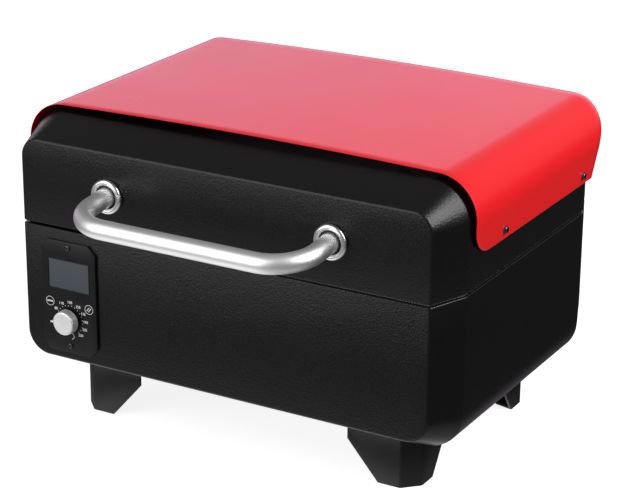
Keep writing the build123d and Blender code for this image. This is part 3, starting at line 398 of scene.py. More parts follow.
def sheet_metal(name, color, roughness, direction=(40, 900, 900), spread=0.08, spangle=0.0):
    """Sheet steel with a rolled grain and, if galvanised, a crystal spangle."""
    p = Paint(name, color, roughness, 1.0)
    lines = p.noise(1.0, 3.0, 0.65, p.stretched(direction))
    smears = p.noise(18, 4.0, 0.6)
    tone = p.levels(smears, 0.25, 0.75, 0.0, 1.0)
    dark = tuple(c * 0.82 for c in color)
    base = p.blend(tone, dark, color)
    if spangle:
        flakes = p.cells(130, output="Color")
        grey = p.node("RGBToBW", {0: flakes}).outputs[0]
        share = p.levels(grey, 0.0, 1.0, 0.0, spangle)
        base = p.blend(share, base, tuple(c * 0.6 for c in color))
    p.set("Base Color", base)
    both = p.maths("ADD", lines, smears)
    p.set("Roughness", p.levels(both, 0.6, 1.4, roughness - spread, roughness + spread))
    return p.bump(lines, 0.1, 0.0001).material


def heat_stained(name, center, reach):
    """Stainless steel blued and browned by the fire: the colours fade with distance."""
    p = Paint(name, (0.4, 0.36, 0.32), 0.4, 1.0)
    offset = p.node("VectorMath", {0: p.where, 1: center}, operation="SUBTRACT").outputs["Vector"]
    away = p.node("VectorMath", {0: offset}, operation="LENGTH").outputs["Value"]
    smoke = p.noise(30, 5.0, 0.6)
    away = p.maths("ADD", away, p.maths("MULTIPLY", smoke, reach * 0.45))
    share = p.levels(away, reach * 0.3, reach * 1.3, 0.0, 1.0)
    ramp = p.node("ValToRGB", {0: share})
    ramp.color_ramp.elements[0].color = (0.10, 0.085, 0.075, 1)
    ramp.color_ramp.elements[1].color = (0.50, 0.48, 0.45, 1)
    plum, blue, straw = (0.20, 0.17, 0.20, 1), (0.17, 0.19, 0.27, 1), (0.42, 0.31, 0.18, 1)
    for place, tint in ((0.3, plum), (0.5, blue), (0.7, straw)):
        ramp.color_ramp.elements.new(place).color = tint
    p.set("Base Color", ramp.outputs["Color"])
    p.set("Roughness", p.levels(smoke, 0.3, 0.7, 0.34, 0.56))
    return p.bump(p.noise(400, 3.0), 0.15, 0.0002).material


def moulded(name, color, roughness, grain=800, depth=0.00015):
    """Moulded plastic or rubber with a fine spark-eroded grain."""
    p = Paint(name, color, roughness)
    p.bump(p.noise(grain, 2.0, 0.6), 0.3, depth)
    p.set("Roughness", p.levels(p.noise(45, 3.0), 0.3, 0.7, roughness - 0.05, roughness + 0.06))
    tone = p.levels(p.noise(12, 3.0), 0.3, 0.7, 0.0, 1.0)
    return p.set("Base Color", p.blend(tone, color, tuple(c * 1.35 for c in color))).material


def fixing_metal(name, color, roughness):
    p = Paint(name, color, roughness, 1.0)
    p.bump(p.noise(1500, 2.0), 0.15, 0.00005)
    p.set("Roughness", p.levels(p.noise(500, 3.0), 0.3, 0.7, roughness - 0.06, roughness + 0.1))
    tone = p.levels(p.noise(220, 4.0), 0.35, 0.7, 0.0, 1.0)
    return p.set("Base Color", p.blend(tone, color, tuple(c * 0.72 for c in color))).material


def porcelain():
    p = Paint("grate_enamel", (0.012, 0.012, 0.013), 0.22, Coat_Weight=0.4, Coat_Roughness=0.15)
    p.bump(p.noise(260, 3.0), 0.25, 0.0003)
    p.set("Roughness", p.levels(p.noise(35, 4.0), 0.3, 0.7, 0.18, 0.4))
    ash = p.levels(p.noise(90, 5.0, 0.65), 0.58, 0.8, 0.0, 0.5)
    return p.set("Base Color", p.blend(ash, (0.012, 0.012, 0.013), (0.06, 0.055, 0.05))).material


def woven_fibre():
    """Glass-fibre rope flattened into a strip: a small diagonal weave."""
    p = Paint("gasket_fibre", (0.10, 0.10, 0.095), 0.9, Sheen_Weight=0.2)

    def strands(vector):
        inputs = {"Vector": vector, "Scale": 190.0, "Distortion": 1.5}
        return p.node("TexWave", inputs, bands_direction="DIAGONAL").outputs["Fac"]

    weave = p.maths("MAXIMUM", strands(p.where), strands(p.stretched((-1, 1, 1))))
    p.bump(weave, 0.8, 0.0006)
    return p.set("Base Color", p.blend(weave, (0.05, 0.05, 0.048), (0.16, 0.16, 0.15))).material


def circuit():
    """Solder mask over copper: darker tracks between lighter ground areas."""
    p = Paint("circuit_board", (0.02, 0.16, 0.07), 0.25)
    inputs = {"Vector": p.stretched((1, 1, 1)), "Scale": 160.0, "Mortar Size": 0.012}
    inputs.update({"Color1": (1, 1, 1, 1), "Color2": (0.8, 0.8, 0.8, 1), "Mortar": (0, 0, 0, 1)})
    tracks = p.node("TexBrick", inputs)
    tone = p.node("RGBToBW", {0: tracks.outputs["Color"]}).outputs[0]
    p.bump(tone, 0.3, 0.00008)
    return p.set("Base Color", p.blend(tone, (0.006, 0.07, 0.03), (0.02, 0.17, 0.07))).material


def window_pane():
    """A smoked window over an unlit display: slate grey, a little bluer towards the bottom."""
    p = Paint("display_window", (0.07, 0.078, 0.095), 0.12, Coat_Weight=0.6, Coat_Roughness=0.05)
    box_low, box_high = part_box("display_window")
    height = p.node("SeparateXYZ", {0: p.where}).outputs["Z"]
    share = p.levels(height, box_low.z, box_high.z, 0.0, 1.0)
    p.set("Base Color", p.blend(share, (0.078, 0.090, 0.114), (0.098, 0.104, 0.118)))
    p.set("Roughness", p.levels(p.noise(200, 2.0), 0.3, 0.7, 0.10, 0.16))
    return p.material


def print_ink():
    p = Paint("print_white", (0.85, 0.85, 0.85), 0.5)
    speck = p.levels(p.noise(3000, 2.0), 0.3, 0.6, 0.0, 1.0)
    return p.set("Base Color", p.blend(speck, (0.74, 0.74, 0.74), (0.9, 0.9, 0.9))).material


def plate_finish():
    """Satin black moulding, slightly uneven in tone and gloss."""
    p = Paint("plate_plastic", (0.007, 0.007, 0.0075), 0.34, IOR=1.36)
    p.bump(p.noise(1100, 2.0), 0.2, 0.00012)
    p.set("Roughness", p.levels(p.noise(60, 3.0), 0.3, 0.7, 0.29, 0.38))
    tone = p.levels(p.noise(30, 3.0), 0.3, 0.7, 0.0, 1.0)
    return p.set("Base Color", p.blend(tone, (0.006, 0.006, 0.0065), (0.009, 0.009, 0.0095))).material


fire = middle("firepot")
knob_center = middle("dial_shaft")
MATERIALS = {
    "casing_paint": powder_coat(),
    "leg_paint": leg_paint(),
    "cover_paint": red_enamel(),
    "handle_steel": satin_steel(),
    "trim_steel": polished_steel(),
    "knob_metal": spun_metal(knob_center),
    "dark_fixings": fixing_metal("dark_fixings", (0.11, 0.11, 0.115), 0.34),
    "zinc_fixings": fixing_metal("zinc_fixings", (0.62, 0.62, 0.60), 0.28),
    "hinge_steel": moulded("hinge_paint", (0.016, 0.016, 0.017), 0.36, 500, 0.0002),
    "plate_plastic": plate_finish(),
    "black_plastic": moulded("black_plastic", (0.014, 0.014, 0.015), 0.42),
    "window_plastic": window_pane(),
    "rocker_plastic": moulded("rocker_plastic", (0.02, 0.02, 0.02), 0.2, 300, 0.00005),
    "board_green": circuit(),
    "black_rubber": moulded("black_rubber", (0.018, 0.018, 0.018), 0.65, 400, 0.0002),
    "gasket_fibre": woven_fibre(),
    "guard_wire": fixing_metal("guard_wire", (0.66, 0.66, 0.66), 0.18),
    "bin_steel": sheet_metal("galvanised_steel", (0.60, 0.61, 0.61), 0.34, spangle=0.7),
    "liner_steel": sheet_metal("aluminised_steel", (0.58, 0.57, 0.55), 0.36, (900, 40, 900)),
    "hot_steel": heat_stained("heat_stained_steel", fire, 0.11),
    "grate_enamel": porcelain(),
    "auger_steel": sheet_metal("auger_steel", (0.45, 0.45, 0.45), 0.38, (900, 60, 60)),
    "motor_metal": sheet_metal("motor_metal", (0.44, 0.44, 0.45), 0.42, (300, 300, 300)),
}


# ---- casing -------------------------------------------------------------------------------
def section(half, rim, far, radius, steps=14):
    """Upright section of a casing half, from its left rim round to its right rim."""
    away = 1 if far > rim else -1
    corner = far - away * radius
    left = [(-half + radius - radius * cos(a), corner + away * radius * sin(a))
            for a in [pi / 2 * i / steps for i in range(steps + 1)]]
    right = [(-x, z) for x, z in reversed(left)]
    return [(-half, rim), *left, *right, (half, rim)]


def casing_part(part, rim, far, step, end_radius):
    """One welded piece of a casing half, as a folded sheet: end cap or side wrap."""
    away = 1 if far > rim else -1
    full = section(HALF, rim, far, CASING_RADIUS)
    end = section(HALF - BEVEL, rim, far - away * step, end_radius)
    bm = bmesh.new()

    def ring(points, y):
        return [bm.verts.new((x, y, z)) for x, z in points]

    def strip(a, b):
        for i in range(len(a) - 1):
            bm.faces.new((a[i], a[i + 1], b[i + 1], b[i]))

    if part == "wrap":
        a, b = ring(full, FRONT_CREASE), ring(full, REAR_CREASE)
        strip(a, b)
        for i, inward in ((0, 1), (-1, -1)):
            inner = [bm.verts.new((v.co.x + inward * RIM_WIDTH, v.co.y, rim)) for v in (a[i], b[i])]
            bm.faces.new((a[i], b[i], inner[1], inner[0]))
    else:
        panel_y, crease_y = (FRONT, FRONT_CREASE) if part == "front" else (REAR, REAR_CREASE)
        inward = 1 if part == "front" else -1
        a, b = ring(end, panel_y), ring(full, crease_y)
        strip(a, b)
        bm.faces.new(a)
        narrow, wide = HALF - BEVEL - RIM_WIDTH, HALF - RIM_WIDTH
        lip_y = panel_y + inward * RIM_WIDTH
        lip = ((-wide, crease_y), (-narrow, lip_y), (narrow, lip_y), (wide, crease_y))
        inner = [bm.verts.new((x, y, rim)) for x, y in lip]
        outer = [b[0], a[0], a[-1], b[-1]]
        strip(outer, inner)
    bmesh.ops.recalc_face_normals(bm, faces=bm.faces)
    center = sum((v.co for v in bm.verts), Vector()) / len(bm.verts)
    biggest = max(bm.faces, key=lambda f: f.calc_area())
    if biggest.normal.dot(biggest.calc_center_median() - center) < 0:
        bmesh.ops.reverse_faces(bm, faces=bm.faces)

    def on_panel(edge):
        return part != "wrap" and all(abs(v.co.y - panel_y) < 1e-6 for v in edge.verts)

    def on_rim(edge):
        return all(abs(v.co.z - rim) < 1e-6 for v in edge.verts) and turn(edge) > 60

    bevelled(bm, [e for e in bm.edges if on_panel(e) and not on_rim(e) and turn(e) > 20], PANEL_BEND, 4)
    bevelled(bm, [e for e in bm.edges if on_rim(e)], RIM_BEND, 3)
    mesh = from_bmesh(bm)
    return with_modifiers(mesh, [
        ("SOLIDIFY", {"thickness": SHEET, "offset": -1, "use_even_offset": True}),
    ])


def cut(mesh, cutters, sharp=30):
    """The mesh less a list of closed cutter meshes."""
    bm = bmesh.new()
    for cutter in cutters:
        bm.from_mesh(cutter)
    bmesh.ops.recalc_face_normals(bm, faces=bm.faces)
    tool = bpy.data.objects.new("cutter", from_bmesh(bm))
    bpy.context.scene.collection.objects.link(tool)
    settings = {"operation": "DIFFERENCE", "object": tool, "solver": "EXACT"}
    result = with_modifiers(mesh, [("BOOLEAN", settings)], sharp)
    bpy.data.objects.remove(tool)
    return result


def brick(x, y, z):
    """A closed box mesh between three (low, high) pairs, for cutting."""
    corners = [(a, b, c) for a in x for b in y for c in z]
    faces = [(0, 1, 3, 2), (4, 6, 7, 5), (0, 4, 5, 1), (2, 3, 7, 6), (0, 2, 6, 4), (1, 5, 7, 3)]
    return mesh_of(corners, faces)


def around(value, reach):
    return (value - reach, value + reach)


def rear_openings():
    through = (REAR - 5 * MM, REAR + 5 * MM)
    fan, inlet, switch = middle("fan_guard"), middle("power_inlet"), middle("switch_bezel")
    return [
        lathe([(-5 * MM, 27 * MM), (5 * MM, 27 * MM)], (fan.x, REAR, fan.z), (0, 1, 0), 64),
        brick(around(inlet.x, 14 * MM), through, around(inlet.z, 10 * MM)),
        brick(around(switch.x, 10 * MM), through, around(switch.z, 7 * MM)),
    ]


def drain_hole():
    """Fat drips through the casing's floor into the drawer under it."""
    place = (fire.x, FRONT + 305 * MM, BASE_FLOOR)
    return lathe([(-5 * MM, 10 * MM), (5 * MM, 10 * MM)], place, (0, 0, 1), 48)


def slot_cutter(center, size, y):
    """A cutter for an upright slot with round ends."""
    width, height = size
    r = width / 2
    rise = height / 2 - r
    outline = arc((center[0], center[1] + rise), r, 0, 180, 10)
    outline += arc((center[0], center[1] - rise), r, 180, 360, 10)
    return slab(outline, 10 * MM, lambda a, b, c: Vector((a, y + 5 * MM + c, b)))


def vent_slots():
    """Nine smoke slots, level with each other and centred over the fire."""
    spacing, height, size = 14 * MM, SEAM + 58 * MM, (6 * MM, 26 * MM)
    return [slot_cutter((fire.x + (i - 4) * spacing, height), size, REAR) for i in range(9)]


def casing():
    halves = (("base", BASE_RIM, BASE_FLOOR, BASE_STEP, BASE_END_RADIUS),
              ("lid", LID_RIM, LID_TOP, LID_STEP, LID_END_RADIUS))
    openings = {("base", "rear"): rear_openings(),
                ("base", "wrap"): [drain_hole()],
                ("lid", "rear"): vent_slots()}
    nodes = {"front": "front_cap", "wrap": "side_wrap", "rear": "rear_cap"}
    for half, rim, far, step, radius in halves:
        for part, node in nodes.items():
            mesh = casing_part(part, rim, far, step, radius)
            if (half, part) in openings:
                mesh = cut(mesh, openings[half, part])
            stand_in(f"{half}_{node}_shell", mesh, f"{half}_{node}")


# ---- lid cover ----------------------------------------------------------------------------
COVER_RADIUS = 42.5 * MM
COVER_CORNER_X = 214.2 * MM
COVER_CROWN = 7.1
COVER_SLANT = radians(7.84)
COVER_LOW_CORNER = 41 * MM
COVER_SHEET = 0.6 * MM
# In mm: distance behind the front panel, and height above the seam.
COVER_REAR_EDGE = [(361.0, 118.6), (360.0, 112.0), (341.0, 73.0), (334.5, 33.5)]


def cover_columns():
    """Points of the cover's outer section, from the left lower edge to the right one."""
    top, bottom = high("lid_cover").z, low("lid_cover").z
    sine = COVER_CORNER_X / (COVER_CROWN - COVER_RADIUS)
    crown_z = top - COVER_CROWN
    corner_z = crown_z + (COVER_CROWN - COVER_RADIUS) * sqrt(1 - sine**2)
    lean = degrees(COVER_SLANT)
    crown_end = degrees(asin(sine))
    right = arc((0, crown_z), COVER_CROWN, 90, 90 - crown_end, 16)
    right += arc((COVER_CORNER_X, corner_z), COVER_RADIUS, 90 - crown_end, -lean, 30)[1:]
    x, z = right[-1]
    drop = z - bottom
    # Closer together near the lower edge, where the front corner turns fastest.
    shares = [sin(radians(a)) for a in range(5, 91, 5)]
    right += [(x - tan(COVER_SLANT) * drop * s, z - drop * s) for s in shares]
    return [(-px, pz) for px, pz in reversed(right[1:])] + right


def cover_rear(z):
    """How far back the cover reaches at a height: its rear edge runs forwards as it drops."""
    height = (z - SEAM) / MM
    for (y0, z0), (y1, z1) in zip(COVER_REAR_EDGE, COVER_REAR_EDGE[1:]):
        if height >= z1 - 1e-6:
            share = min(1.0, max(0.0, (z0 - height) / (z0 - z1)))
            return FRONT + (y0 + (y1 - y0) * share) * MM
    return FRONT + COVER_REAR_EDGE[-1][0] * MM


def cover():
    front, bottom = low("lid_cover").y, low("lid_cover").z
    rows = 28
    columns = cover_columns()
    verts = []
    for x, z in columns:
        below = max(0.0, bottom + COVER_LOW_CORNER - z)
        start = front + COVER_LOW_CORNER - sqrt(max(0.0, COVER_LOW_CORNER**2 - below**2))
        end = cover_rear(z)
        verts += [(x, start + (end - start) * i / rows, z) for i in range(rows + 1)]
    faces = []
    for c in range(len(columns) - 1):
        for r in range(rows):
            a = c * (rows + 1) + r
            faces.append((a, a + 1, a + rows + 2, a + rows + 1))
    mesh = mesh_of(verts, faces)
    mesh.flip_normals()
    mesh = with_modifiers(mesh, [
        ("SOLIDIFY", {"thickness": COVER_SHEET, "offset": -1, "use_even_offset": True}),
        ("BEVEL", {"width": COVER_SHEET / 3, "segments": 2,
                   "limit_method": "ANGLE", "angle_limit": radians(50)}),
    ], 40)
    stand_in("lid_cover_sheet", mesh, "lid_cover")


# ---- fixings ------------------------------------------------------------------------------
def pan_head(center, axis, radius, height, recess, shank):
    """A low domed screw head with a socket, on a short shank that runs back into its hole."""
    dome = [(height * (0.25 + 0.75 * sin(a)), radius * (0.55 + 0.45 * cos(a)))
            for a in [pi / 2 * i / 8 for i in range(9)]]
    profile = [(-shank, 0), (-shank, radius * 0.5), (0, radius * 0.5)]
    profile += [(0, radius * 0.97), (height * 0.1, radius), *dome, (height, 0)]
    head = lathe(profile, center, axis, 40)
    side = axis.orthogonal().normalized()
    other = axis.cross(side)
    top = Vector(center) + axis * (height + 0.2 * MM)
    socket = [(recess * cos(radians(60 * i)), recess * sin(radians(60 * i))) for i in range(6)]
    tool = slab(socket, height * 0.62, lambda a, b, c: top + side * a + other * b + axis * c)
    return cut(head, [tool])


def islands(node):
    """The (low, high) box of each separate solid in a CAD node."""
    bm = cad_copy(node, flat=False)
    left, boxes = set(bm.verts), []
    while left:
        todo, found = [left.pop()], []
        while todo:
            v = todo.pop()
            found.append(v.co.copy())
            for e in v.link_edges:
                w = e.other_vert(v)
                if w in left:
                    left.remove(w)
                    todo.append(w)
        boxes.append((Vector(map(min, zip(*found))), Vector(map(max, zip(*found)))))
    bm.free()
    return sorted(boxes, key=lambda b: tuple(round(c, 4) for c in b[0]))


SCREWS = (  # piece, CAD node, way out, then head radius and height, socket and shank in mm
    ("cover_pan_screws", "cover_screws", (1, 0, 0), (4.2, 3.0, 1.5, 10)),
    ("plate_pan_screws", "control_plate_screws", (0, -1, 0), (3.1, 1.9, 1.2, 7)),
    ("leg_pan_screws", "leg_screws", (0, 0, -1), (4.6, 2.8, 1.7, 9.5)),
)


def screws():
    for name, node, way, sizes in SCREWS:
        radius, height, recess, shank = [size * MM for size in sizes]
        along = [abs(w) for w in way].index(1)
        heads = []
        for lo, hi in islands(node):
            start, out = (lo + hi) / 2, Vector(way)
            if along == 0 and start.x < 0:
                out = -out
            tip = hi if out[along] > 0 else lo
            start[along] = tip[along] - out[along] * height
            heads.append(pan_head(start, out, radius, height, recess, shank))
        stand_in(name, joined(heads), node)


# ---- handle -------------------------------------------------------------------------------
HANDLE_RADIUS = 10 * MM
HANDLE_BEND = 42 * MM
HANDLE_REACH = 70 * MM  # front panel to the grip's centreline
HANDLE_WALL = 1.5 * MM
HANDLE_DROOP = radians(5.35)
TRIM_RADIUS = 15 * MM
TRIM_SECTION = 3.2 * MM


def tube_along(points, radius, around_steps=40):
    """A round tube along a level path, with an open bore at each end."""
    verts, faces = [], []
    for i, point in enumerate(points):
        before, after = points[max(i - 1, 0)], points[min(i + 1, len(points) - 1)]
        ahead = (after - before).normalized()
        side = ahead.cross(Vector((0, 0, 1))).normalized()
        for k in range(around_steps):
            angle = 2 * pi * k / around_steps
            verts.append(point + side * (radius * cos(angle)) + Vector((0, 0, radius * sin(angle))))
    for i in range(len(points) - 1):
        for k in range(around_steps):
            a, b = i * around_steps + k, i * around_steps + (k + 1) % around_steps
            faces.append((a, b, b + around_steps, a + around_steps))
    return facing_out(verts, faces)


def handle():
    z = middle("handle_trim_rings").z
    reach = FRONT - HANDLE_REACH
    x = high("handle_tube").x - HANDLE_RADIUS
    corner = (x - HANDLE_BEND, reach + HANDLE_BEND)
    right = [(x, FRONT + 2 * MM), (x, FRONT - 8 * MM), (x, FRONT - 20 * MM)]
    right += arc(corner, HANDLE_BEND, 0, -90, 20)
    path = right + [(0.0, reach)] + [(-px, py) for px, py in reversed(right)]
    mesh = tube_along([Vector((px, py, z)) for px, py in path], HANDLE_RADIUS)
    mesh = with_modifiers(mesh, [("SOLIDIFY", {"thickness": HANDLE_WALL, "offset": -1})])
    pivot = Matrix.Translation((0, FRONT, z))
    mesh.transform(pivot @ Matrix.Rotation(HANDLE_DROOP, 4, "X") @ pivot.inverted())
    for v in mesh.vertices:
        v.co.y = min(v.co.y, FRONT)
    stand_in("handle_bent_tube", mesh, "handle_tube")
    rings = []
    for side in (-1, 1):
        profile = [(y, r) for r, y in arc((TRIM_RADIUS, 2.2 * MM), TRIM_SECTION, -43, 223, 24)]
        profile = [(max(0.0, y), r) for y, r in profile]
        profile.append(profile[0])
        rings.append(lathe(profile, (side * x, FRONT, z), (0, -1, 0), 64, 60))
    stand_in("handle_trim_round", joined(rings, 60), "handle_trim_rings")


# ---- control panel ------------------------------------------------------------------------
DIAL_LABELS = (  # number, and its angle in degrees
    ("80", 150), ("110", 121), ("130", 89), ("150", 57),
    ("175", 30), ("190", 4), ("205", -22), ("230", -48),
)
LABEL_ACROSS, LABEL_UP = 19.7 * MM, 19.5 * MM  # from the dial's centre to the numbers
TICKS = 15


def on_plate(x, z, proud=0.03 * MM):
    return Vector((x, low("control_plate").y - proud, z))


def text_mesh(words, size, x, z):
    curve = bpy.data.curves.new("label", "FONT")
    curve.body = words
    curve.size = size
    curve.extrude = 0.02 * MM
    curve.offset = 0.03 * size
    curve.align_x = "CENTER"
    curve.align_y = "CENTER"
    curve.resolution_u = 3
    obj = bpy.data.objects.new("label", curve)
    bpy.context.scene.collection.objects.link(obj)
    bpy.context.view_layer.update()
    mesh = bpy.data.meshes.new_from_object(obj.evaluated_get(bpy.context.evaluated_depsgraph_get()))
    bpy.data.objects.remove(obj)
    mesh.transform(Matrix.Translation(on_plate(x, z, 0.02 * MM)) @ Matrix.Rotation(pi / 2, 4, "X"))
    return mesh


def printed(outline):
    return slab(outline, 0.04 * MM, lambda a, b, c: on_plate(a, b) - Vector((0, c, 0)))


def stroke(start, end, width):
    """A printed straight line."""
    along = (Vector(end) - Vector(start)).normalized()
    side = Vector((-along.y, along.x)) * width / 2
    a, b = Vector(start), Vector(end)
    return printed([tuple(a - side), tuple(b - side), tuple(b + side), tuple(a + side)])


def ring_print(center, radius, width, start=0, end=360, steps=40):
    """A printed ring, or part of one, made of short straight strokes."""
    outer = arc(center, radius + width / 2, start, end, steps)
    inner = arc(center, radius - width / 2, start, end, steps)
    return [printed([outer[i], outer[i + 1], inner[i + 1], inner[i]]) for i in range(steps)]


def dial_print():
    cx, cz = knob_center.x, knob_center.z
    parts = []
    for words, angle in DIAL_LABELS:
        a = radians(angle)
        parts.append(text_mesh(words, 4.0 * MM, cx + LABEL_ACROSS * cos(a), cz + LABEL_UP * sin(a)))
    for i in range(TICKS):
        a = radians(152 - i * (200 / (TICKS - 1)))
        start, end = [(cx + r * cos(a), cz + r * sin(a)) for r in (15.2 * MM, 16.4 * MM)]
        parts.append(stroke(start, end, 0.5 * MM))
    left, right = (cx - 24.3 * MM, cz + 16.8 * MM), (cx + 24.3 * MM, cz + 16.2 * MM)
    for center in (left, right):
        parts += ring_print(center, 4.9 * MM, 0.55 * MM)
    strokes = (  # centre, start, end and width in mm: one bar on the left, two slanted ones on the right
        (left, (-3.6, 0.0), (3.6, 0.0), 1.7),
        (right, (-2.6, -1.6), (0.6, 2.4), 0.9),
        (right, (-0.6, -2.4), (2.6, 1.6), 0.9),
    )
    for (x, z), start, end, width in strokes:
        start, end = [(x + dx * MM, z + dz * MM) for dx, dz in (start, end)]
        parts.append(stroke(start, end, width * MM))
    parts += ring_print((cx + 1.2 * MM, cz - 17.5 * MM), 3.4 * MM, 0.6 * MM, -80, 80, 12)
    obj = piece("dial_scale_print", joined(parts), "base", "plate_plastic")
    obj.data.materials.append(print_ink())


def control_panel():
    lo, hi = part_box("control_plate")
    clip = 9 * MM
    outline = [(lo.x + clip, hi.z), (hi.x - clip, hi.z), (hi.x, hi.z - clip), (hi.x, lo.z + clip),
               (hi.x - clip, lo.z), (lo.x + clip, lo.z), (lo.x, lo.z + clip), (lo.x, hi.z - clip)]
    thick = hi.y - lo.y
    plate = slab(outline, thick, lambda a, b, c: Vector((a, lo.y - c, b)), 0.6 * MM, 3)
    window_lo, window_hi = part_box("display_window")
    pane = brick((window_lo.x, window_hi.x), (lo.y - MM, hi.y + MM), (window_lo.z, window_hi.z))
    shaft = (knob_center.x, lo.y, knob_center.z)
    hole = lathe([(-6 * MM, 5 * MM), (6 * MM, 5 * MM)], shaft, (0, 1, 0), 40)
    stand_in("control_face_plate", cut(plate, [pane, hole]), "control_plate")
    # A raised lip frames the window.
    x, z = (window_lo.x, window_hi.x), (window_lo.z, window_hi.z)
    w = 0.9 * MM
    bm = bmesh.new()
    front = lo.y - 0.35 * MM
    outer = [(x[0] - w, z[0] - w), (x[1] + w, z[0] - w), (x[1] + w, z[1] + w), (x[0] - w, z[1] + w)]
    inner = [(x[0], z[0]), (x[1], z[0]), (x[1], z[1]), (x[0], z[1])]
    rounds = ((lo.y + 0.1 * MM, outer), (front, outer), (front, inner), (lo.y + 0.5 * MM, inner))
    loops = [[bm.verts.new((a, y, b)) for a, b in points] for y, points in rounds]
    for a, b in zip(loops, loops[1:] + loops[:1]):
        for i in range(4):
            j = (i + 1) % 4
            bm.faces.new((a[i], a[j], b[j], b[i]))
    bmesh.ops.recalc_face_normals(bm, faces=bm.faces)
    bevelled(bm, [e for e in bm.edges if turn(e) > 30], 0.12 * MM, 2)
    piece("window_lip", from_bmesh(bm), "base", "plate_plastic")
    dial_print()


def knob():
    lo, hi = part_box("dial_knob")
    cx, cz = knob_center.x, knob_center.z
    back, face = hi.y, lo.y
    depth = back - face
    r = 13 * MM
    skirt = depth - 3.0 * MM
    profile = [(0, 0), (0, 8 * MM), (2.6 * MM, 8 * MM), (3.0 * MM, 8.6 * MM)]
    profile += [(3.0 * MM, r - 0.4 * MM), (3.4 * MM, r)]
    profile += [(3.0 * MM + skirt * 0.5, r * 0.985)]
    profile += [(depth - 1.8 * MM + 1.8 * MM * sin(a), r * 0.97 - 1.8 * MM + 1.8 * MM * cos(a))
                for a in [pi / 2 * i / 8 for i in range(9)]]
    profile += [(depth - 0.25 * MM, r * 0.55), (depth - 0.35 * MM, 0)]
    body = lathe(profile, (cx, back, cz), (0, -1, 0), 72)
    tip, root, half = lo.x, cx - 9 * MM, 1.0 * MM
    upper = [(root, half), (tip + 0.8 * MM, half * 0.8), (tip, half * 0.25)]
    outline = [(root, cz - half)] + [(x, cz + z) for x, z in upper]
    outline += [(x, cz - z) for x, z in reversed(upper[1:])]
    fin = slab(outline, 4 * MM, lambda a, b, c: Vector((a, face + 0.4 * MM - c, b)), 0.3 * MM)
    # A shallow line on the face carries the pointer inwards.
    start, end, half = cx - 11.6 * MM, cx - 4 * MM, 0.5 * MM
    outline = [(start, cz - half), (start, cz + half), (end, cz + half), (end, cz - half)]
    line = slab(outline, 0.8 * MM, lambda a, b, c: Vector((a, face - 0.3 * MM - c, b)))
    stand_in("dial_turned_knob", joined([cut(body, [line]), fin]), "dial_knob")


# ---- legs and the other metalwork ---------------------------------------------------------
def legs():
    for name in ("leg_front_left", "leg_front_right", "leg_rear_left", "leg_rear_right"):
        bm = cad_copy(name)

        def is_fold(edge):
            a, b = (v.co for v in edge.verts)
            upright = hypot(a.x - b.x, a.y - b.y) < 1e-5
            return upright and 40 < turn(edge) < 50

        bevelled(bm, [e for e in bm.edges if is_fold(e)], 1.6 * MM, 3)
        bevelled(bm, [e for e in bm.edges if turn(e) > 50], 0.35 * MM, 2)
        stand_in(name + "_folded", from_bmesh(bm), name)


ROUNDING = {  # CAD nodes whose edges are broken, by how much in mm
    "lid_gasket": 0.8, "hinge_leaves_base": 0.3, "hinge_leaves_lid": 0.3, "power_inlet": 0.5,
    "switch_bezel": 0.4, "switch_rocker": 0.4, "fan_frame": 0.5, "hopper_lid": 0.3,
    "auger_gearmotor": 0.5, "grease_drawer": 0.3, "drawer_rails": 0.25, "drip_tray": 0.3,
    "heat_deflector": 0.3, "firepot": 0.4, "rack_ledges": 0.3, "air_duct": 0.3,
    "hinge_pins": 0.4, "cover_spacers": 0.3, "display_module": 0.4, "temperature_probe": 0.3,
}


def metalwork():
    for node, amount in ROUNDING.items():
        bm = cad_copy(node)
        bevelled(bm, [e for e in bm.edges if turn(e) > 30], amount * MM, 2)
        stand_in(node + "_edged", from_bmesh(bm), node)


def finish_materials():
    """Every piece and every CAD node gets its slot's procedural material."""
    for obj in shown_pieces():
        if obj.data.materials and obj.name == "dial_scale_print":
            continue
        slot = obj.get("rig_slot") or SLOT_OF[obj["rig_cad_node"]]
        obj.data.materials.clear()
        obj.data.materials.append(MATERIALS[slot])


# ---- studio -------------------------------------------------------------------------------
FLOOR_GLOW = 0.85
SKY, WALL, WALL_TOP = 0.2, 1.15, 0.30  # strengths, and where the wall starts to fade
WALL_TINT = (0.97, 0.76, 0.98, 1)
FLOOR_AHEAD, FLOOR_BEHIND, FLOOR_BELOW = 0.22, 0.03, 0.95
LIGHTS = (  # name, place, aimed at, size, power in watts
    ("front", (-1.15, -2.15, 1.3), (0, 0, 0.25), (2.4, 3.2), 50),
    ("right", (1.35, 0.12, 1.15), (0.05, 0, 0.25), (1.0, 1.1), 25),
)


def camera():
    place = (1.0498, FRONT - 1.6542, SEAM + 0.7393)
    swing, tilt, roll = radians(29.594), radians(20.363), radians(0.4145)
    forward = Vector((-sin(swing) * cos(tilt), cos(swing) * cos(tilt), -sin(tilt)))
    right = Vector((cos(swing), sin(swing), 0))
    up = right.cross(forward)
    x = right * cos(roll) + up * sin(roll)
    y = -right * sin(roll) + up * cos(roll)
    data = bpy.data.cameras.new("camera")
    data.lens = 122.4
    data.sensor_width = 36
    data.clip_end = 50
    obj = bpy.data.objects.new("camera", data)
    obj.matrix_world = Matrix((
        (x.x, y.x, -forward.x, place[0]),
        (x.y, y.y, -forward.y, place[1]),
        (x.z, y.z, -forward.z, place[2]),
        (0, 0, 0, 1),
    ))
    bpy.context.scene.collection.objects.link(obj)
    bpy.context.scene.camera = obj


def panel_light(name, place, target, size, power):
    data = bpy.data.lights.new(name, "AREA")
    data.shape = "RECTANGLE"
    data.size, data.size_y = size
    data.energy = power
    obj = bpy.data.objects.new(name, data)
    obj.location = place
    obj.rotation_euler = (Vector(target) - Vector(place)).to_track_quat("-Z", "Y").to_euler()
    bpy.context.scene.collection.objects.link(obj)


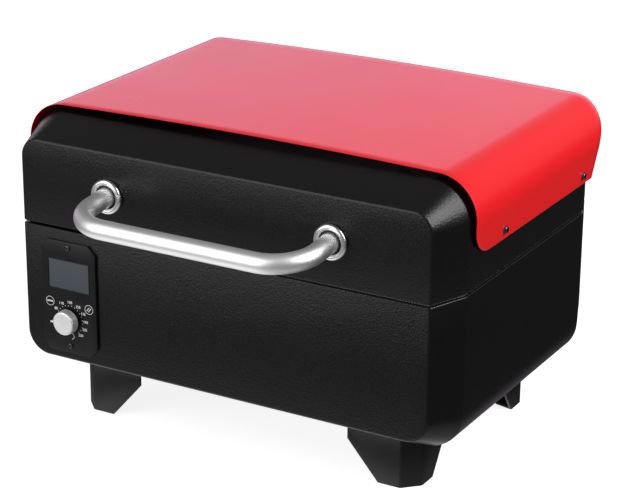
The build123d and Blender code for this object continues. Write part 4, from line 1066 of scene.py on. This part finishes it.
def studio():
    scene = bpy.context.scene
    scene.view_settings.view_transform = "Standard"
    scene.view_settings.look = "None"
    mesh = mesh_of([(-30, -30, 0), (30, -30, 0), (30, 30, 0), (-30, 30, 0)], [(0, 1, 2, 3)])
    floor = bpy.data.objects.new("floor", mesh)
    scene.collection.objects.link(floor)
    glow = {"Emission_Color": (1, 1, 1, 1), "Emission_Strength": FLOOR_GLOW}
    p = Paint("floor", (0.55, 0.55, 0.55), 0.8, **glow)
    floor.data.materials.append(p.material)
    floor.visible_diffuse = False
    floor.visible_glossy = False

    world = bpy.data.worlds.new("studio")
    scene.world = world
    world.use_nodes = True
    tree = world.node_tree
    back = tree.nodes["Background"]

    def node(kind, inputs=(), **properties):
        return add_node(tree, kind, inputs, **properties)

    # A low white wall stands behind, the floor glows in front and right below, and the rest is dim.
    where = node("TexCoord").outputs["Generated"]
    height = node("SeparateXYZ", {0: where}).outputs["Z"]

    def ramp(value, start, end, first, last):
        inputs = {0: value, 1: start, 2: end, 3: first, 4: last}
        return node("MapRange", inputs, interpolation_type="SMOOTHSTEP").outputs[0]

    def along(direction):
        return node("VectorMath", {0: where, 1: direction}, operation="DOT_PRODUCT").outputs["Value"]

    def times(first, second):
        return node("Math", {0: first, 1: second}, operation="MULTIPLY").outputs[0]

    wall = times(ramp(along((-0.49, 0.87, 0)), 0.55, 0.95, 0.0, WALL),
                 ramp(height, WALL_TOP, WALL_TOP + 0.13, 1.0, 0.0))
    upper = node("Math", {0: wall, 1: SKY}, operation="ADD").outputs[0]
    ahead = ramp(along((-0.49, -0.87, 0)), -0.9, 0.9, FLOOR_BEHIND, FLOOR_AHEAD)
    below = times(ramp(height, -0.75, -0.42, FLOOR_BELOW, 0.0),
                  ramp(along((-1, 0, 0)), 0.0, 0.35, 0.3, 1.0))
    lower = node("Math", {0: ahead, 1: below}, operation="ADD").outputs[0]
    share = ramp(height, -0.06, 0.04, 0.0, 1.0)
    light = node("Mix", {0: share, 2: lower, 3: upper}).outputs[0]
    seen = node("LightPath").outputs["Is Camera Ray"]
    strength = node("MapRange", {0: seen, 3: light, 4: 1.0})
    tree.links.new(strength.outputs[0], back.inputs["Strength"])
    unseen = node("Math", {0: 1.0, 1: seen}, operation="SUBTRACT").outputs[0]
    tint = node("Mix", {0: times(wall, unseen), 6: (1, 1, 1, 1), 7: WALL_TINT}, data_type="RGBA")
    tree.links.new(tint.outputs[2], back.inputs["Color"])

    for name, place, target, size, power in LIGHTS:
        panel_light(name, place, target, size, power)


casing()
cover()
screws()
handle()
control_panel()
knob()
legs()
metalwork()
finish_materials()
camera()
studio()
